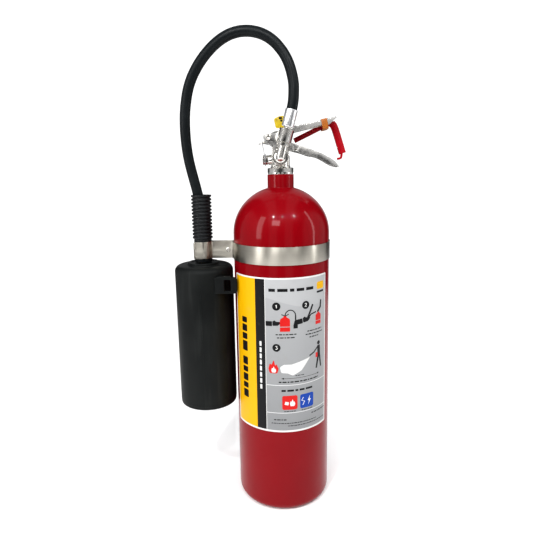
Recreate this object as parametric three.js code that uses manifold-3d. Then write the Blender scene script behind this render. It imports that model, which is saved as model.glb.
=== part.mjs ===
// A hand-portable carbon dioxide fire extinguisher: a steel cylinder with a squeeze-grip valve,
// a discharge hose, and a horn that is held beside the cylinder in a clip on a steel band.
// Millimetres, +Z up. The origin is the centre of the cylinder's flat base, the label faces -Y,
// the horn hangs on the -X side and the grips point to +X.

import * as THREE from 'three';
import { mergeVertices } from 'three/addons/utils/BufferGeometryUtils.js';
import Module from 'manifold-3d';

const wasm = await Module();
wasm.setup();

// ---- Driving dimensions ----
const gap = 0.3; // between pieces that touch

// Cylinder
const cylinderRadius = 76;
const cylinderWall = 5;
const floorThickness = 9;
const baseCorner = 14;
const shoulderHeight = 447; // where the straight wall ends
const domeHeight = 73;
const neckRadius = 20.5;
const neckRise = 20.7; // from where the dome meets the neck to the neck's top
const neckBore = 12.8;
const neckBevel = 1;

// Label and band
const labelThickness = 0.5;
const labelBottom = 142;
const labelToBand = 18.5;
const labelLeft = 67; // degrees round from the front
const labelRight = 61.5;
const bandToShoulder = 12.5; // from the band's top to the end of the straight wall
const bandHeight = 27;
const bandThickness = 1;
const armHalfGap = 5; // from the middle plane to the middle of each clip arm
const clipRivetRadius = 2.5;
const clipRivetHead = 3.4;
const clipRivetRise = 1.4;
const clipRivetOffset = 9; // from the middle of the arms, toward the cylinder
const lipBend = 8;
const lipAngle = 35; // degrees that the clip's lips flare

// Horn and its grip
const hornRadius = 47;
const hornWall = 3;
const hornHeight = 234;
const hornShoulder = 20;
const hornToCylinder = 3;
const discRadius = 25.5;
const discHeight = 4;
const discToBand = 6.5;
const gripNeckRadius = 14;
const clipRunning = 0.5; // from the grip's neck to the clip
const sleeveRadius = 16;
const sleeveHeight = 71;
const sleeveToBand = 2.5;
const sleeveWall = 2.5;
const cupDepth = 55;
const pipeRadius = 7;
const pipeBore = 4.5;
const pipeInCup = 18;
const pipeInNozzle = 6;
const pipeFerruleRadius = 9.3;
const pipeFerruleEnd = 4;
const lockNutHeight = 8.5;
const lockNutAcross = 24;
const nozzleRadius = 10;
const nozzleLength = 17;
const nozzleOrifice = 2;
const lugToCylinder = 1.4; // from the end of the strap loop to the label
const lugFront = 42.5;
const lugThickness = 6;
const lugRoot = 16; // from the horn's axis, hidden inside its wall
const lugHeight = 26;
const lugDrop = 14; // from the horn's top to the top of the strap loop
const lugWindow = 10;
const lugRail = 4; // the bars above and below the window
const lugPost = 10; // the bar at the loop's outer end
const lugCorner = 6;

// Valve body
const sealThickness = 1.5;
const flangeAcross = 35;
const flangeHeight = 8;
const bodyRadius = 16;
const bodyWaist = 30; // height where the round body becomes the flat-sided block
const blockHalfWidth = 11;
const blockReach = 13;
const blockTop = 59;
const earRadius = 6; // of the block's rounded top behind the pivot
const chamberRadius = 6;
const chamberTop = 15;
const spigotLength = 26;
const tubeRadius = 5.5;
const tubeBore = 4;
const tubeGrip = 10;
const tubeToFloor = 15;

// Stem and spring
const stemRadius = 3;
const stemNeckRadius = 2.4;
const stemTop = 65;
const poppetHeight = 8;
const seatHeight = 2.4;
const seatBore = 3.6;
const oRingHeight = 38; // middle of the stem's seal
const oRingWidth = 2.4;
const oRingDepth = 2;
const springWire = 0.8;
const springPlay = 1.8; // from the spring to the wall of its chamber
const springTurns = 6;

// Outlet, nut and hose
const outletHeight = 26;
const outletRadius = 12.5;
const outletReach = 23;
const outletRecess = 4;
const outletRim = 2.7;
const outletBore = 4.2;
const elbowRadius = 7;
const elbowFlange = 1.6;
const elbowReach = 30.5;
const elbowLean = 14.5; // degrees
const elbowBore = 3.5;
const elbowTop = 33;
const collarAcross = 17;
const collarFrom = 15.5;
const nutAcross = 19;
const nutFrom = 21;
const nutLength = 20;
const nutLip = 3.5; // the nut's end wall, behind the hose tail's collar
const tailBore = 2.6;
const tailInFerrule = 9;
const insertRadius = 4.4;
const ferruleFrom = 43.5;
const ferruleLength = 25.5;
const ferruleWall = 1;
const ferruleEnd = 3;
const hoseRadius = 7.9;

// Relief plug, with its lanyard
const reliefHeight = 22;
const reliefPort = 4.3;
const reliefSeat = 9; // from the valve's axis to the floor of the port
const reliefDrill = 1.3; // the passage up from the cylinder to the burst disc
const reliefDrillX = 9.4;
const reliefDisc = 0.4;
const reliefBoss = 7.5;
const reliefReach = 19;
const reliefAcross = 13;
const reliefLength = 8;
const reliefVent = 2.2;
const wireRadius = 0.6;
const linkRadius = 4.5;
const linkWire = 0.9;
const linkX = -23.8;
const linkHeight = 48.4; // of the link's hole in the carry handle
const linkLean = 20; // degrees

// Grips and pins
const gripSheet = 1.2;
const sideGap = 0.4; // between the lever's walls and the carry handle's
const slitX = 20.6; // the small slit through the carry handle's walls
const slitHeight = 35.6;
const slitWidth = 4.8;
const slitDepth = 2.4;
const pivotX = -18;
const pivotHeight = 55.7;
const pivotRadius = 3;
const pivotHead = 4.7;
const pivotHeadRise = 2.4;
const leverSlope = 11.2; // degrees
const leverLength = 106.3;
const leverDepth = 7.7; // from the pivot's axis to the lever's top
const pinX = 7;
const pinHeight = 54.5;
const pinRadius = 1.8;
const pinHead = 4.2;
const pinHeadLength = 5;
const pinFrontEnd = 1.2; // beyond the lever's wall
const pinBackEnd = 8;
const lockSlot = 5.2;
const ringRadius = 9;
const ringWire = 1;
const ringPlay = 1.1; // round the ring where it passes through the pin's head
const rollPinRadius = 2;
const rollPinHeight = 43;
const rollPinX = 5;
const tagThickness = 2;
const tagWidth = 17;
const tagHeight = 18.5;
const tagCorner = 3;
const tagX = -9.5; // the left end of its foot
const tagLean = 1; // how much further right its top is
const strapSheet = 1;
const strapWidth = 2.8;
const hookDepth = 5;
const hookGap = 0.5; // from the carry handle's side to the wall hook
const hookWidth = 7.6;
const tieThickness = 1.2;
const tieWidth = 9;
const tieAt = 87; // along the lever from its pivot
const tieLow = -6.5; // below the pivot's level, square to the lever

// ---- Places worked out from them ----
const domeMeet = domeHeight * Math.sqrt(1 - (neckRadius / cylinderRadius) ** 2);
const neckTop = shoulderHeight + domeMeet + neckRise;
const bandRadius = cylinderRadius + gap + bandThickness / 2; // to the middle of the strip
const hornAxis = cylinderRadius + hornToCylinder + hornRadius;
const bandTop = shoulderHeight - bandToShoulder;
const bandBottom = bandTop - bandHeight;
const labelTop = bandBottom - labelToBand;
const hornTop = bandBottom - discToBand - discHeight;
const sleeveBottom = bandTop + sleeveToBand;
const cupFloor = sleeveBottom + sleeveHeight - cupDepth;
const pipeFit = pipeRadius + gap;
const handleInner = blockHalfWidth + gap;
const handleOuter = handleInner + gripSheet;
const leverInner = handleOuter + sideGap;
const leverOuter = leverInner + gripSheet;
const flangeBottom = sealThickness + 2 * gap;
const flangeTop = flangeBottom + flangeHeight;
const seatTop = chamberTop - gap;
const poppetTop = seatTop - seatHeight - gap;
const tubeTop = tubeGrip - spigotLength;
const oRingOuter = stemRadius + gap + oRingDepth;
const oRingLow = oRingHeight - oRingWidth / 2;
const oRingHigh = oRingHeight + oRingWidth / 2;

// ---- Materials ----
const finish = (color, roughness, metalness) => (
  new THREE.MeshStandardMaterial({ color, roughness, metalness })
);
const redPaint = finish(0x9c1019, 0.18, 0.2);
const printedLabel = finish(0xd8d8d4, 0.4, 0);
const brushedSteel = finish(0xa8a498, 0.35, 1);
const nickel = finish(0xc4c2bc, 0.22, 1);
const aluminium = finish(0xb4b6b8, 0.4, 1);
const brass = finish(0xb08d4a, 0.3, 1);
const springSteel = finish(0x77797c, 0.3, 1);
const blackMoulding = finish(0x1c1e1e, 0.6, 0);
const blackRubber = finish(0x26282a, 0.5, 0);
const yellowPlastic = finish(0xc8a80c, 0.4, 0);
const orangePlastic = finish(0xd08a14, 0.5, 0);

// ---- Solids: joining, cutting and the basic shapes ----

// A closed surface as a solid: shared corners merged, flat triangles at the poles dropped.
function solidOf(geometry) {
  const bare = new THREE.BufferGeometry();
  bare.setAttribute('position', geometry.getAttribute('position'));
  bare.setIndex(geometry.index);
  const merged = mergeVertices(bare, 1e-4);
  const corners = merged.index.array;
  const triVerts = [];
  for (let i = 0; i < corners.length; i += 3) {
    const [a, b, c] = corners.slice(i, i + 3);
    if (a !== b && b !== c && c !== a) triVerts.push(a, b, c);
  }
  const vertProperties = new Float32Array(merged.getAttribute('position').array);
  return new wasm.Manifold(
    new wasm.Mesh({ numProp: 3, vertProperties, triVerts: new Uint32Array(triVerts) }),
  );
}

function geometryOf(solid) {
  const { vertProperties, triVerts } = solid.getMesh();
  const geometry = new THREE.BufferGeometry();
  geometry.setAttribute('position', new THREE.BufferAttribute(vertProperties, 3));
  geometry.setIndex(new THREE.BufferAttribute(triVerts, 1));
  geometry.computeVertexNormals();
  return geometry;
}

function join(first, ...others) {
  return geometryOf(others.reduce((whole, next) => whole.add(solidOf(next)), solidOf(first)));
}

function cut(first, ...tools) {
  return geometryOf(tools.reduce((whole, tool) => whole.subtract(solidOf(tool)), solidOf(first)));
}

// A profile of [radius, height] points turned round the Z axis, going round the section
// anticlockwise. It closes on itself unless it starts and ends on the axis.
function lathe(profile, segments = 24) {
  const points = profile.map(([r, z]) => new THREE.Vector2(r, z));
  if (profile[0][0] > 0) points.push(points[0].clone());
  return new THREE.LatheGeometry(points, segments).rotateX(Math.PI / 2);
}

const rod = (radius, low, high, segments = 20) => (
  lathe([[0, low], [radius, low], [radius, high], [0, high]], segments)
);
const ring = (inner, outer, low, high, segments = 24) => (
  lathe([[inner, low], [outer, low], [outer, high], [inner, high]], segments)
);
const hexagon = (across, low, high) => rod(across / Math.sqrt(3), low, high, 6);
const alongY = (geometry) => geometry.rotateX(-Math.PI / 2);
const alongX = (geometry) => geometry.rotateY(Math.PI / 2);

function block(x0, x1, y0, y1, z0, z1) {
  const geometry = new THREE.BoxGeometry(x1 - x0, y1 - y0, z1 - z0);
  return geometry.translate((x0 + x1) / 2, (y0 + y1) / 2, (z0 + z1) / 2);
}

function outline(points) {
  return new THREE.Shape(points.map(([x, y]) => new THREE.Vector2(x, y)));
}

// A flat outline in X and Y, from one height to another.
function slab(shape, low, high) {
  return new THREE.ExtrudeGeometry(shape, {
    depth: high - low, bevelEnabled: false, curveSegments: 12,
  }).translate(0, 0, low);
}

// A flat outline in X and Z, from one Y to another.
function plate(shape, front, back) {
  return new THREE.ExtrudeGeometry(shape, {
    depth: back - front, bevelEnabled: false, curveSegments: 6,
  }).rotateX(Math.PI / 2).translate(0, back, 0);
}

// A slot with round ends between two points of a plate's plane.
function slot(x0, z0, x1, z1, radius) {
  const turn = Math.atan2(z1 - z0, x1 - x0);
  const shape = new THREE.Shape();
  shape.absarc(x0, z0, radius, turn + Math.PI / 2, turn + 1.5 * Math.PI);
  shape.absarc(x1, z1, radius, turn - Math.PI / 2, turn + Math.PI / 2);
  return shape;
}

// A round bar along a curve.
function bar(curve, radius, sides, steps) {
  const section = outline(arc(0, 0, radius, 0, 360 - 360 / sides, sides - 1));
  return new THREE.ExtrudeGeometry(section, { steps, extrudePath: curve, bevelEnabled: false });
}

// Points round an arc, in degrees.
function arc(x, y, radius, from, to, steps) {
  return Array.from({ length: steps + 1 }, (_, i) => {
    const turn = THREE.MathUtils.degToRad(from + (to - from) * i / steps);
    return [x + radius * Math.cos(turn), y + radius * Math.sin(turn)];
  });
}

// A sheet strip's outline: its middle line moved half a thickness to each side.
function strip(line, thickness) {
  const side = (sign) => line.map(([x, y], i) => {
    const [ax, ay] = line[Math.max(i - 1, 0)];
    const [bx, by] = line[Math.min(i + 1, line.length - 1)];
    const length = Math.hypot(bx - ax, by - ay);
    const half = sign * thickness / 2;
    return [x - (by - ay) / length * half, y + (bx - ax) / length * half];
  });
  return outline([...side(-1), ...side(1).reverse()]);
}

const curveThrough = (points) => (
  new THREE.CatmullRomCurve3(points.map((p) => new THREE.Vector3(...p)))
);

const extinguisher = new THREE.Group();

function add(group, name, geometry, material) {
  const mesh = new THREE.Mesh(geometry, material);
  mesh.name = name;
  group.add(mesh);
}

// ---- Cylinder: one spun shell with a flat base, a domed top and a bored neck ----
const inside = cylinderRadius - cylinderWall;
const dome = (radius, height, meet, steps) => {
  const last = THREE.MathUtils.radToDeg(Math.acos(meet / radius));
  return arc(0, 0, 1, 0, last, steps).map(([c, s]) => [radius * c, shoulderHeight + height * s]);
};
add(extinguisher, 'cylinder_shell', lathe([
  [0, 0],
  ...arc(cylinderRadius - baseCorner, baseCorner, baseCorner, -90, 0, 4),
  ...dome(cylinderRadius, domeHeight, neckRadius, 9),
  [neckRadius, neckTop - neckBevel],
  [neckRadius - neckBevel, neckTop],
  [neckBore, neckTop],
  ...dome(inside, domeHeight - cylinderWall, neckBore, 4).reverse(),
  [inside, floorThickness + baseCorner],
  [inside - baseCorner, floorThickness],
  [0, floorThickness],
], 48), redPaint);

// ---- Label: a printed sheet bent round the front ----
const labelInner = cylinderRadius + gap;
add(extinguisher, 'label_sheet', slab(outline([
  ...arc(0, 0, labelInner + labelThickness, -90 - labelLeft, -90 + labelRight, 26),
  ...arc(0, 0, labelInner, -90 + labelRight, -90 - labelLeft, 26),
]), labelBottom, labelTop), printedLabel);

// ---- Horn band: one strip round the cylinder whose two ends run out as arms and then
// open into the jaws that hold the horn's grip ----
const jawRadius = gripNeckRadius + clipRunning + bandThickness / 2;
const bend = 3;
const jawBend = 5;
const bandTurn = THREE.MathUtils.radToDeg(Math.asin((armHalfGap + bend) / (bandRadius + bend)));
const jawTurn = THREE.MathUtils.radToDeg(
  Math.asin((armHalfGap + jawBend) / (jawRadius + jawBend)),
);
const bendX = -Math.sqrt((bandRadius + bend) ** 2 - (armHalfGap + bend) ** 2);
const jawBendX = -hornAxis + Math.sqrt(
  (jawRadius + jawBend) ** 2 - (armHalfGap + jawBend) ** 2,
);
const halfStrip = [
  ...arc(0, 0, bandRadius, -90, -180 + bandTurn, 13),
  ...arc(bendX, -armHalfGap - bend, bend, bandTurn, 90, 3).slice(1),
  ...arc(jawBendX, -armHalfGap - jawBend, jawBend, 90, 180 - jawTurn, 4),
  ...arc(-hornAxis, 0, jawRadius, -jawTurn, -90, 7).slice(1),
  [-hornAxis - lipBend, -jawRadius],
  ...arc(-hornAxis - lipBend, -jawRadius - lipBend, lipBend, 90, 90 + lipAngle, 3).slice(1),
];
const mirrored = halfStrip.slice(1).map(([x, y]) => [x, -y]);
const frontHalf = arc(0, 0, bandRadius, -90, 90, 28).slice(1, -1);
const wholeStrip = [
  ...halfStrip.slice().reverse(),
  ...frontHalf,
  [0, bandRadius],
  ...mirrored,
];
const clipRivetX = (bendX + jawBendX) / 2 + clipRivetOffset;
const clipHeight = (bandBottom + bandTop) / 2;
add(extinguisher, 'horn_band', cut(
  slab(strip(wholeStrip, bandThickness), bandBottom, bandTop),
  alongY(rod(clipRivetRadius + gap, -armHalfGap - 3, armHalfGap + 3, 16))
    .translate(clipRivetX, 0, clipHeight),
), brushedSteel);
const armFace = armHalfGap + bandThickness / 2 + gap;
add(extinguisher, 'clip_rivet', alongY(lathe([
  [0, -armFace - clipRivetRise],
  [clipRivetHead - 1, -armFace - clipRivetRise],
  [clipRivetHead, -armFace - clipRivetRise / 2],
  [clipRivetHead, -armFace],
  [clipRivetRadius, -armFace],
  [clipRivetRadius, armFace],
  [clipRivetHead, armFace],
  [clipRivetHead, armFace + clipRivetRise],
  [0, armFace + clipRivetRise],
], 20)).translate(clipRivetX, 0, clipHeight), nickel);

// ---- Horn: a moulded bell, open below, and the strap loop on its front-right side ----
const horn = new THREE.Group();
horn.position.set(-hornAxis, 0, 0);
extinguisher.add(horn);
const hornMouth = hornTop - hornHeight;
const hornCeiling = hornTop - hornWall - 1;
const bell = hornRadius - hornWall;
add(horn, 'horn', lathe([
  [bell, hornMouth],
  [hornRadius - 1, hornMouth],
  [hornRadius, hornMouth + 1.5],
  ...arc(hornRadius - hornShoulder, hornTop - hornShoulder, hornShoulder, 0, 90, 4),
  [discRadius, hornTop],
  [discRadius, hornTop + discHeight],
  [pipeFit, hornTop + discHeight],
  [pipeFit, hornCeiling],
  ...arc(hornRadius - hornShoulder, hornTop - hornShoulder - 1, hornShoulder - hornWall, 90, 0, 3),
], 28), blackMoulding);
const lugRight = hornAxis - lugToCylinder
  - Math.sqrt((labelInner + labelThickness) ** 2 - (lugFront - lugThickness) ** 2);
const lugTop = hornTop - lugDrop;
const lugShape = outline([
  [lugRoot, lugTop - lugHeight],
  [lugRight - lugCorner, lugTop - lugHeight],
  ...arc(lugRight - lugCorner, lugTop - lugHeight + lugCorner, lugCorner, -60, 0, 2),
  ...arc(lugRight - lugCorner, lugTop - lugCorner, lugCorner, 0, 60, 2),
  [lugRight - lugCorner, lugTop],
  [lugRoot, lugTop],
]);
add(horn, 'horn_strap_loop', cut(
  plate(lugShape, -lugFront, -lugFront + lugThickness),
  rod(hornRadius + gap, hornMouth, hornTop, 32),
  block(lugRight - lugPost - lugWindow, lugRight - lugPost, -lugFront - 1,
    -lugFront + lugThickness + 1, lugTop - lugHeight + lugRail, lugTop - lugRail),
), blackMoulding);

// ---- Grip: the plain neck that the clip holds, and the sleeve with a cup for the hose ----
const gripBottom = hornTop + discHeight + gap;
const sleeveTop = sleeveBottom + sleeveHeight;
add(horn, 'horn_grip', lathe([
  [pipeFit, gripBottom],
  [gripNeckRadius, gripBottom],
  [gripNeckRadius, sleeveBottom],
  [sleeveRadius, sleeveBottom + 1.5],
  [sleeveRadius, sleeveTop],
  [sleeveRadius - sleeveWall, sleeveTop],
  [sleeveRadius - sleeveWall, cupFloor],
  [pipeFit, cupFloor],
]), blackRubber);

// ---- Inside the grip and the horn: pipe, its ferrule, the nut that holds the horn, nozzle ----
const pipeTop = cupFloor + pipeInCup;
const pipeEnd = pipeTop + pipeFerruleEnd;
const lockNutTop = hornCeiling - gap;
const nozzleTop = lockNutTop - lockNutHeight - gap;
const pipeBottom = nozzleTop - nozzleLength + pipeInNozzle;
add(horn, 'horn_pipe', ring(pipeBore, pipeRadius, pipeBottom, pipeTop, 24), brass);
add(horn, 'pipe_ferrule', lathe([
  [pipeFit, cupFloor + gap],
  [pipeFerruleRadius, cupFloor + gap],
  [pipeFerruleRadius, pipeEnd],
  [pipeBore, pipeEnd],
  [pipeBore, pipeTop + gap],
  [pipeFit, pipeTop + gap],
], 24), nickel);
add(horn, 'horn_lock_nut', cut(
  hexagon(lockNutAcross, lockNutTop - lockNutHeight, lockNutTop),
  rod(pipeFit, lockNutTop - lockNutHeight - 1, lockNutTop + 1, 24),
), nickel);
add(horn, 'discharge_nozzle', lathe([
  [nozzleOrifice, nozzleTop - nozzleLength],
  [nozzleRadius - 2, nozzleTop - nozzleLength],
  [nozzleRadius, nozzleTop - nozzleLength + 3],
  [nozzleRadius, nozzleTop],
  [pipeFit, nozzleTop],
  [pipeFit, pipeBottom - gap],
  [nozzleOrifice, pipeBottom - gap],
], 24), brass);

// ---- Valve, in a group whose origin is the centre of the neck's top ----
const valve = new THREE.Group();
valve.position.set(0, 0, neckTop);
extinguisher.add(valve);
add(valve, 'neck_seal', ring(neckBore + 0.4, neckRadius - 2, gap, gap + sealThickness), blackRubber);

// A straight-sided round bar from the outlet's corner along the leaning outlet.
const leaning = (geometry) => geometry
  .rotateY(THREE.MathUtils.degToRad(elbowLean))
  .translate(0, -elbowReach, outletHeight);

const spigotRadius = neckBore - gap;
const bodyMass = join(
  rod(spigotRadius, -spigotLength, flangeBottom + 1),
  hexagon(flangeAcross, flangeBottom, flangeTop),
  rod(bodyRadius, flangeTop - 1, bodyWaist),
  block(-blockReach, blockReach, -blockHalfWidth, blockHalfWidth, bodyWaist - 1, blockTop),
  plate(outline([
    [-blockReach + 1, bodyWaist + 10],
    [-blockReach + 1, blockTop],
    ...arc(pivotX, blockTop - earRadius, earRadius, 90, 180, 4),
    [pivotX + 4, bodyWaist + 13],
  ]), -blockHalfWidth, blockHalfWidth),
  alongY(rod(outletRadius, -outletReach, -blockHalfWidth + 1, 24)).translate(0, 0, outletHeight),
  alongX(rod(reliefBoss, -reliefReach, -bodyRadius + 4, 24)).translate(0, 0, reliefHeight),
);
const pinHole = () => alongY(rod(pinRadius + gap, -leverOuter - 5, leverOuter + 5, 16))
  .translate(pinX, 0, pinHeight);
const pivotHole = (reach) => alongY(rod(pivotRadius + gap, -reach, reach, 20))
  .translate(pivotX, 0, pivotHeight);
const rollPinHole = () => alongY(rod(rollPinRadius + gap, -leverOuter, leverOuter, 16))
  .translate(rollPinX, 0, rollPinHeight);
add(valve, 'valve_body', cut(
  bodyMass,
  rod(chamberRadius, -spigotLength - 1, chamberTop, 24),
  rod(seatBore, chamberTop - 1, outletHeight + outletBore, 24),
  rod(stemRadius + gap, outletHeight, blockTop + 1, 24),
  ring(stemRadius, oRingOuter + gap, oRingLow - gap, oRingHigh + gap, 24),
  alongY(rod(outletBore, -outletReach - 1, 0, 20)).translate(0, 0, outletHeight),
  alongY(rod(outletRadius - outletRim, -outletReach - 1, -outletReach + outletRecess, 24))
    .translate(0, 0, outletHeight),
  alongX(rod(reliefPort, -reliefReach - 1, -reliefSeat, 20)).translate(0, 0, reliefHeight),
  rod(reliefDrill, -spigotLength - 1, reliefHeight, 12).translate(-reliefDrillX, 0, 0),
  pinHole(),
  pivotHole(leverOuter),
  rollPinHole(),
), nickel);

// ---- Inside the valve: dip tube, seat, stem with its poppet, stem seal, return spring ----
const valveToFloor = neckTop - floorThickness;
add(valve, 'dip_tube', ring(tubeBore, tubeRadius, tubeToFloor - valveToFloor, tubeTop, 20), aluminium);
add(valve, 'valve_seat', ring(seatBore, chamberRadius - gap, seatTop - seatHeight, seatTop, 24), brass);
add(valve, 'valve_stem', lathe([
  [0, poppetTop - poppetHeight],
  [chamberRadius - 1.6, poppetTop - poppetHeight],
  [chamberRadius - 1, poppetTop - 1],
  [chamberRadius - 1, poppetTop],
  [stemNeckRadius, poppetTop],
  [stemNeckRadius, outletHeight + outletBore + 1],
  [stemRadius, outletHeight + outletBore + 2],
  [stemRadius, stemTop - 1],
  [stemRadius - 1.2, stemTop],
  [0, stemTop],
], 20), springSteel);
add(valve, 'stem_o_ring', ring(stemRadius + gap, oRingOuter, oRingLow, oRingHigh, 20), blackRubber);
const springBottom = tubeTop + gap + springWire;
const springTop = poppetTop - poppetHeight - gap - springWire;
class Coil extends THREE.Curve {
  getPoint(t, target = new THREE.Vector3()) {
    const turn = 2 * Math.PI * springTurns * t;
    const radius = chamberRadius - springPlay - springWire;
    const height = springBottom + (springTop - springBottom) * t;
    return target.set(radius * Math.cos(turn), radius * Math.sin(turn), height);
  }
}
add(valve, 'stem_spring', bar(new Coil(), springWire, 5, springTurns * 8), springSteel);

// ---- Outlet: washer, elbow, swivel nut, hose tail and crimped ferrule, then the hose ----
const recessFloor = -outletReach + outletRecess;
const flangeRadius = outletRadius - outletRim - 0.7;
add(valve, 'elbow_washer', alongY(
  ring(outletBore + gap, flangeRadius, recessFloor - gap - 1, recessFloor - gap, 24),
).translate(0, 0, outletHeight), blackRubber);
const elbowFace = recessFloor - 2 * gap - 1;
const corner = (radius) => new THREE.SphereGeometry(radius, 12, 8)
  .translate(0, -elbowReach, outletHeight);
add(valve, 'outlet_elbow', cut(
  join(
    alongY(rod(flangeRadius, elbowFace - elbowFlange, elbowFace, 24)).translate(0, 0, outletHeight),
    alongY(rod(elbowRadius, -elbowReach, elbowFace - 1, 16)).translate(0, 0, outletHeight),
    corner(elbowRadius),
    leaning(rod(elbowRadius, 0, elbowTop, 16)),
    leaning(hexagon(collarAcross, collarFrom, nutFrom - gap)),
  ),
  alongY(rod(elbowBore, -elbowReach, elbowFace + 1, 12)).translate(0, 0, outletHeight),
  corner(elbowBore),
  leaning(rod(elbowBore, 0, elbowTop + 1, 12)),
), nickel);
const nutTop = nutFrom + nutLength;
add(valve, 'swivel_nut', cut(
  leaning(hexagon(nutAcross, nutFrom, nutTop)),
  leaning(rod(elbowRadius + gap, nutFrom - 1, nutTop - nutLip, 24)),
  leaning(rod(insertRadius + gap, nutTop - nutLip - 1, nutTop + 1, 24)),
), nickel);
const tailTop = ferruleFrom + tailInFerrule - gap;
add(valve, 'hose_tail', leaning(lathe([
  [tailBore, elbowTop + gap],
  [elbowRadius - 0.2, elbowTop + gap],
  [elbowRadius - 0.2, nutTop - nutLip - gap],
  [insertRadius, nutTop - nutLip - gap],
  [insertRadius, tailTop],
  [tailBore, tailTop],
], 24)), nickel);
const ferruleInner = hoseRadius + gap;
const ferruleTop = ferruleFrom + ferruleLength;
add(valve, 'hose_ferrule', leaning(lathe([
  [insertRadius + gap, ferruleFrom],
  [ferruleInner, ferruleFrom],
  [ferruleInner + ferruleWall, ferruleFrom + 1.2],
  [ferruleInner + ferruleWall, ferruleTop],
  [ferruleInner, ferruleTop],
  [ferruleInner, ferruleFrom + ferruleEnd],
  [insertRadius + gap, ferruleFrom + ferruleEnd],
], 24)), aluminium);

// The hose's route is chosen by hand: up out of the ferrule, over in one loop and down into
// the cup of the horn's grip.
const hoseRoute = [
  [13.1, -30.5, 614.8], [17.3, -30.5, 631], [19.4, -30.2, 642], [20.3, -29.4, 655],
  [20.1, -28.2, 668],
  [18, -27, 680], [14, -25.6, 694], [8.5, -24, 706], [1, -22.5, 717], [-9, -21.5, 727.5],
  [-21, -20.5, 735.5], [-34, -19.5, 740.3], [-50, -18.5, 742.3], [-66, -17, 740.5],
  [-80, -16, 735.2], [-93, -15, 727], [-104.5, -14, 717], [-115, -13, 705.5],
  [-124.3, -12, 692.5], [-131.8, -11, 679], [-137.5, -10, 664], [-141.3, -8.8, 648],
  [-143.8, -7.8, 632], [-145, -6.8, 615], [-145.1, -5.8, 598], [-144.3, -4.4, 581],
  [-142.4, -3.2, 564], [-139.5, -2.2, 548], [-136, -1.2, 532], [-132.4, -0.5, 516],
  [-129.4, 0, 501], [-127.2, 0, 488], [-126.1, 0, 476],
];
add(extinguisher, 'discharge_hose', bar(curveThrough(hoseRoute), hoseRadius, 10, 40), blackRubber);

// ---- Safety relief: plug, washer and the disc that it clamps, and its lanyard ----
const reliefFloor = -reliefSeat - gap;
const plugFace = reliefFloor - reliefDisc - gap;
add(valve, 'burst_disc', alongX(rod(reliefPort - gap, reliefFloor - reliefDisc, reliefFloor, 20))
  .translate(0, 0, reliefHeight), brass);
add(valve, 'relief_plug', cut(
  join(
    alongX(rod(reliefPort - gap, -reliefReach - 2, plugFace, 20)),
    alongX(hexagon(reliefAcross, -reliefReach - gap - reliefLength, -reliefReach - gap)),
  ),
  alongX(rod(reliefVent, -reliefReach - reliefLength - 2, plugFace - 1.8, 16)),
).translate(0, 0, reliefHeight), brass);
const linkTilt = THREE.MathUtils.degToRad(-linkLean);
const torus = (radius, wire) => new THREE.TorusGeometry(radius, wire, 5, 14);
const linkCentre = [
  linkX - linkRadius * Math.cos(linkTilt), linkHeight + linkRadius * Math.sin(linkTilt),
];
add(valve, 'lanyard_link', torus(linkRadius, linkWire)
  .rotateY(linkTilt)
  .translate(linkCentre[0], -handleOuter + gripSheet / 2, linkCentre[1]), nickel);
const plugCorner = reliefAcross / Math.sqrt(3);
const loopRadius = plugCorner + gap + 2 * wireRadius;
const lanyardX = -reliefReach - gap - reliefLength / 2;
const eyeX = linkCentre[0] + 1.2;
const eyeY = -handleOuter + gripSheet / 2 - linkRadius * 0.94;
const eyeHeight = linkCentre[1] + 0.5;
const eyeRadius = linkWire + wireRadius + 0.7;
add(valve, 'lanyard_wire', join(
  torus(loopRadius, wireRadius).rotateY(Math.PI / 2).translate(lanyardX, 0, reliefHeight),
  bar(new THREE.LineCurve3(
    new THREE.Vector3(lanyardX, -loopRadius, reliefHeight),
    new THREE.Vector3(eyeX, eyeY, eyeHeight - eyeRadius),
  ), wireRadius, 8, 1),
  torus(eyeRadius, wireRadius).rotateY(Math.PI / 2).translate(eyeX, eyeY, eyeHeight),
), springSteel);

// ---- Carry handle: a sheet channel, open above, whose two ears embrace the valve block ----
const underside = new THREE.SplineCurve([
  [-26.6, 46.8], [-14.9, 44.8], [-3, 40.4], [14.7, 35.2], [30, 31], [43, 26.6], [54, 24.4],
  [65, 19], [77.1, 12], [87.5, 9.2],
].map(([x, z]) => new THREE.Vector2(x, z))).getPoints(18).map(({ x, y }) => [x, y]);
const handleWall = outline([
  ...underside,
  [89.2, 10.6], [83.5, 18], [75.4, 23.9], [60.2, 31.8], [45.1, 37.4], [29.9, 42.6],
  [17.8, 46.6], [15, 50], [14, blockTop + 0.6],
  [pivotX, blockTop + 0.6],
  ...arc(pivotX, blockTop - earRadius, earRadius + 0.6, 90, 180, 4).slice(1),
  [-27, 49.6],
  [-27.4, 47.8],
]);
const webFrom = bodyRadius + 1;
const webLine = underside.filter(([x]) => x > webFrom);
const webShape = outline([
  ...webLine,
  ...webLine.map(([x, z]) => [x, z + gripSheet]).reverse(),
]);
add(valve, 'carry_handle', cut(
  join(
    plate(handleWall, -handleOuter, -handleInner),
    plate(handleWall, handleInner, handleOuter),
    plate(webShape, -handleOuter, handleOuter),
  ),
  pivotHole(leverOuter),
  pinHole(),
  rollPinHole(),
  alongY(rod(linkWire + 2 * gap, -leverOuter, leverOuter, 12)).translate(linkX, 0, linkHeight),
  block(slitX, slitX + slitWidth, -leverOuter, leverOuter, slitHeight, slitHeight + slitDepth),
), aluminium);
add(valve, 'handle_roll_pin', alongY(rod(rollPinRadius, -handleOuter, handleOuter, 16))
  .translate(rollPinX, 0, rollPinHeight), springSteel);
const headFace = leverOuter + gap;
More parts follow.
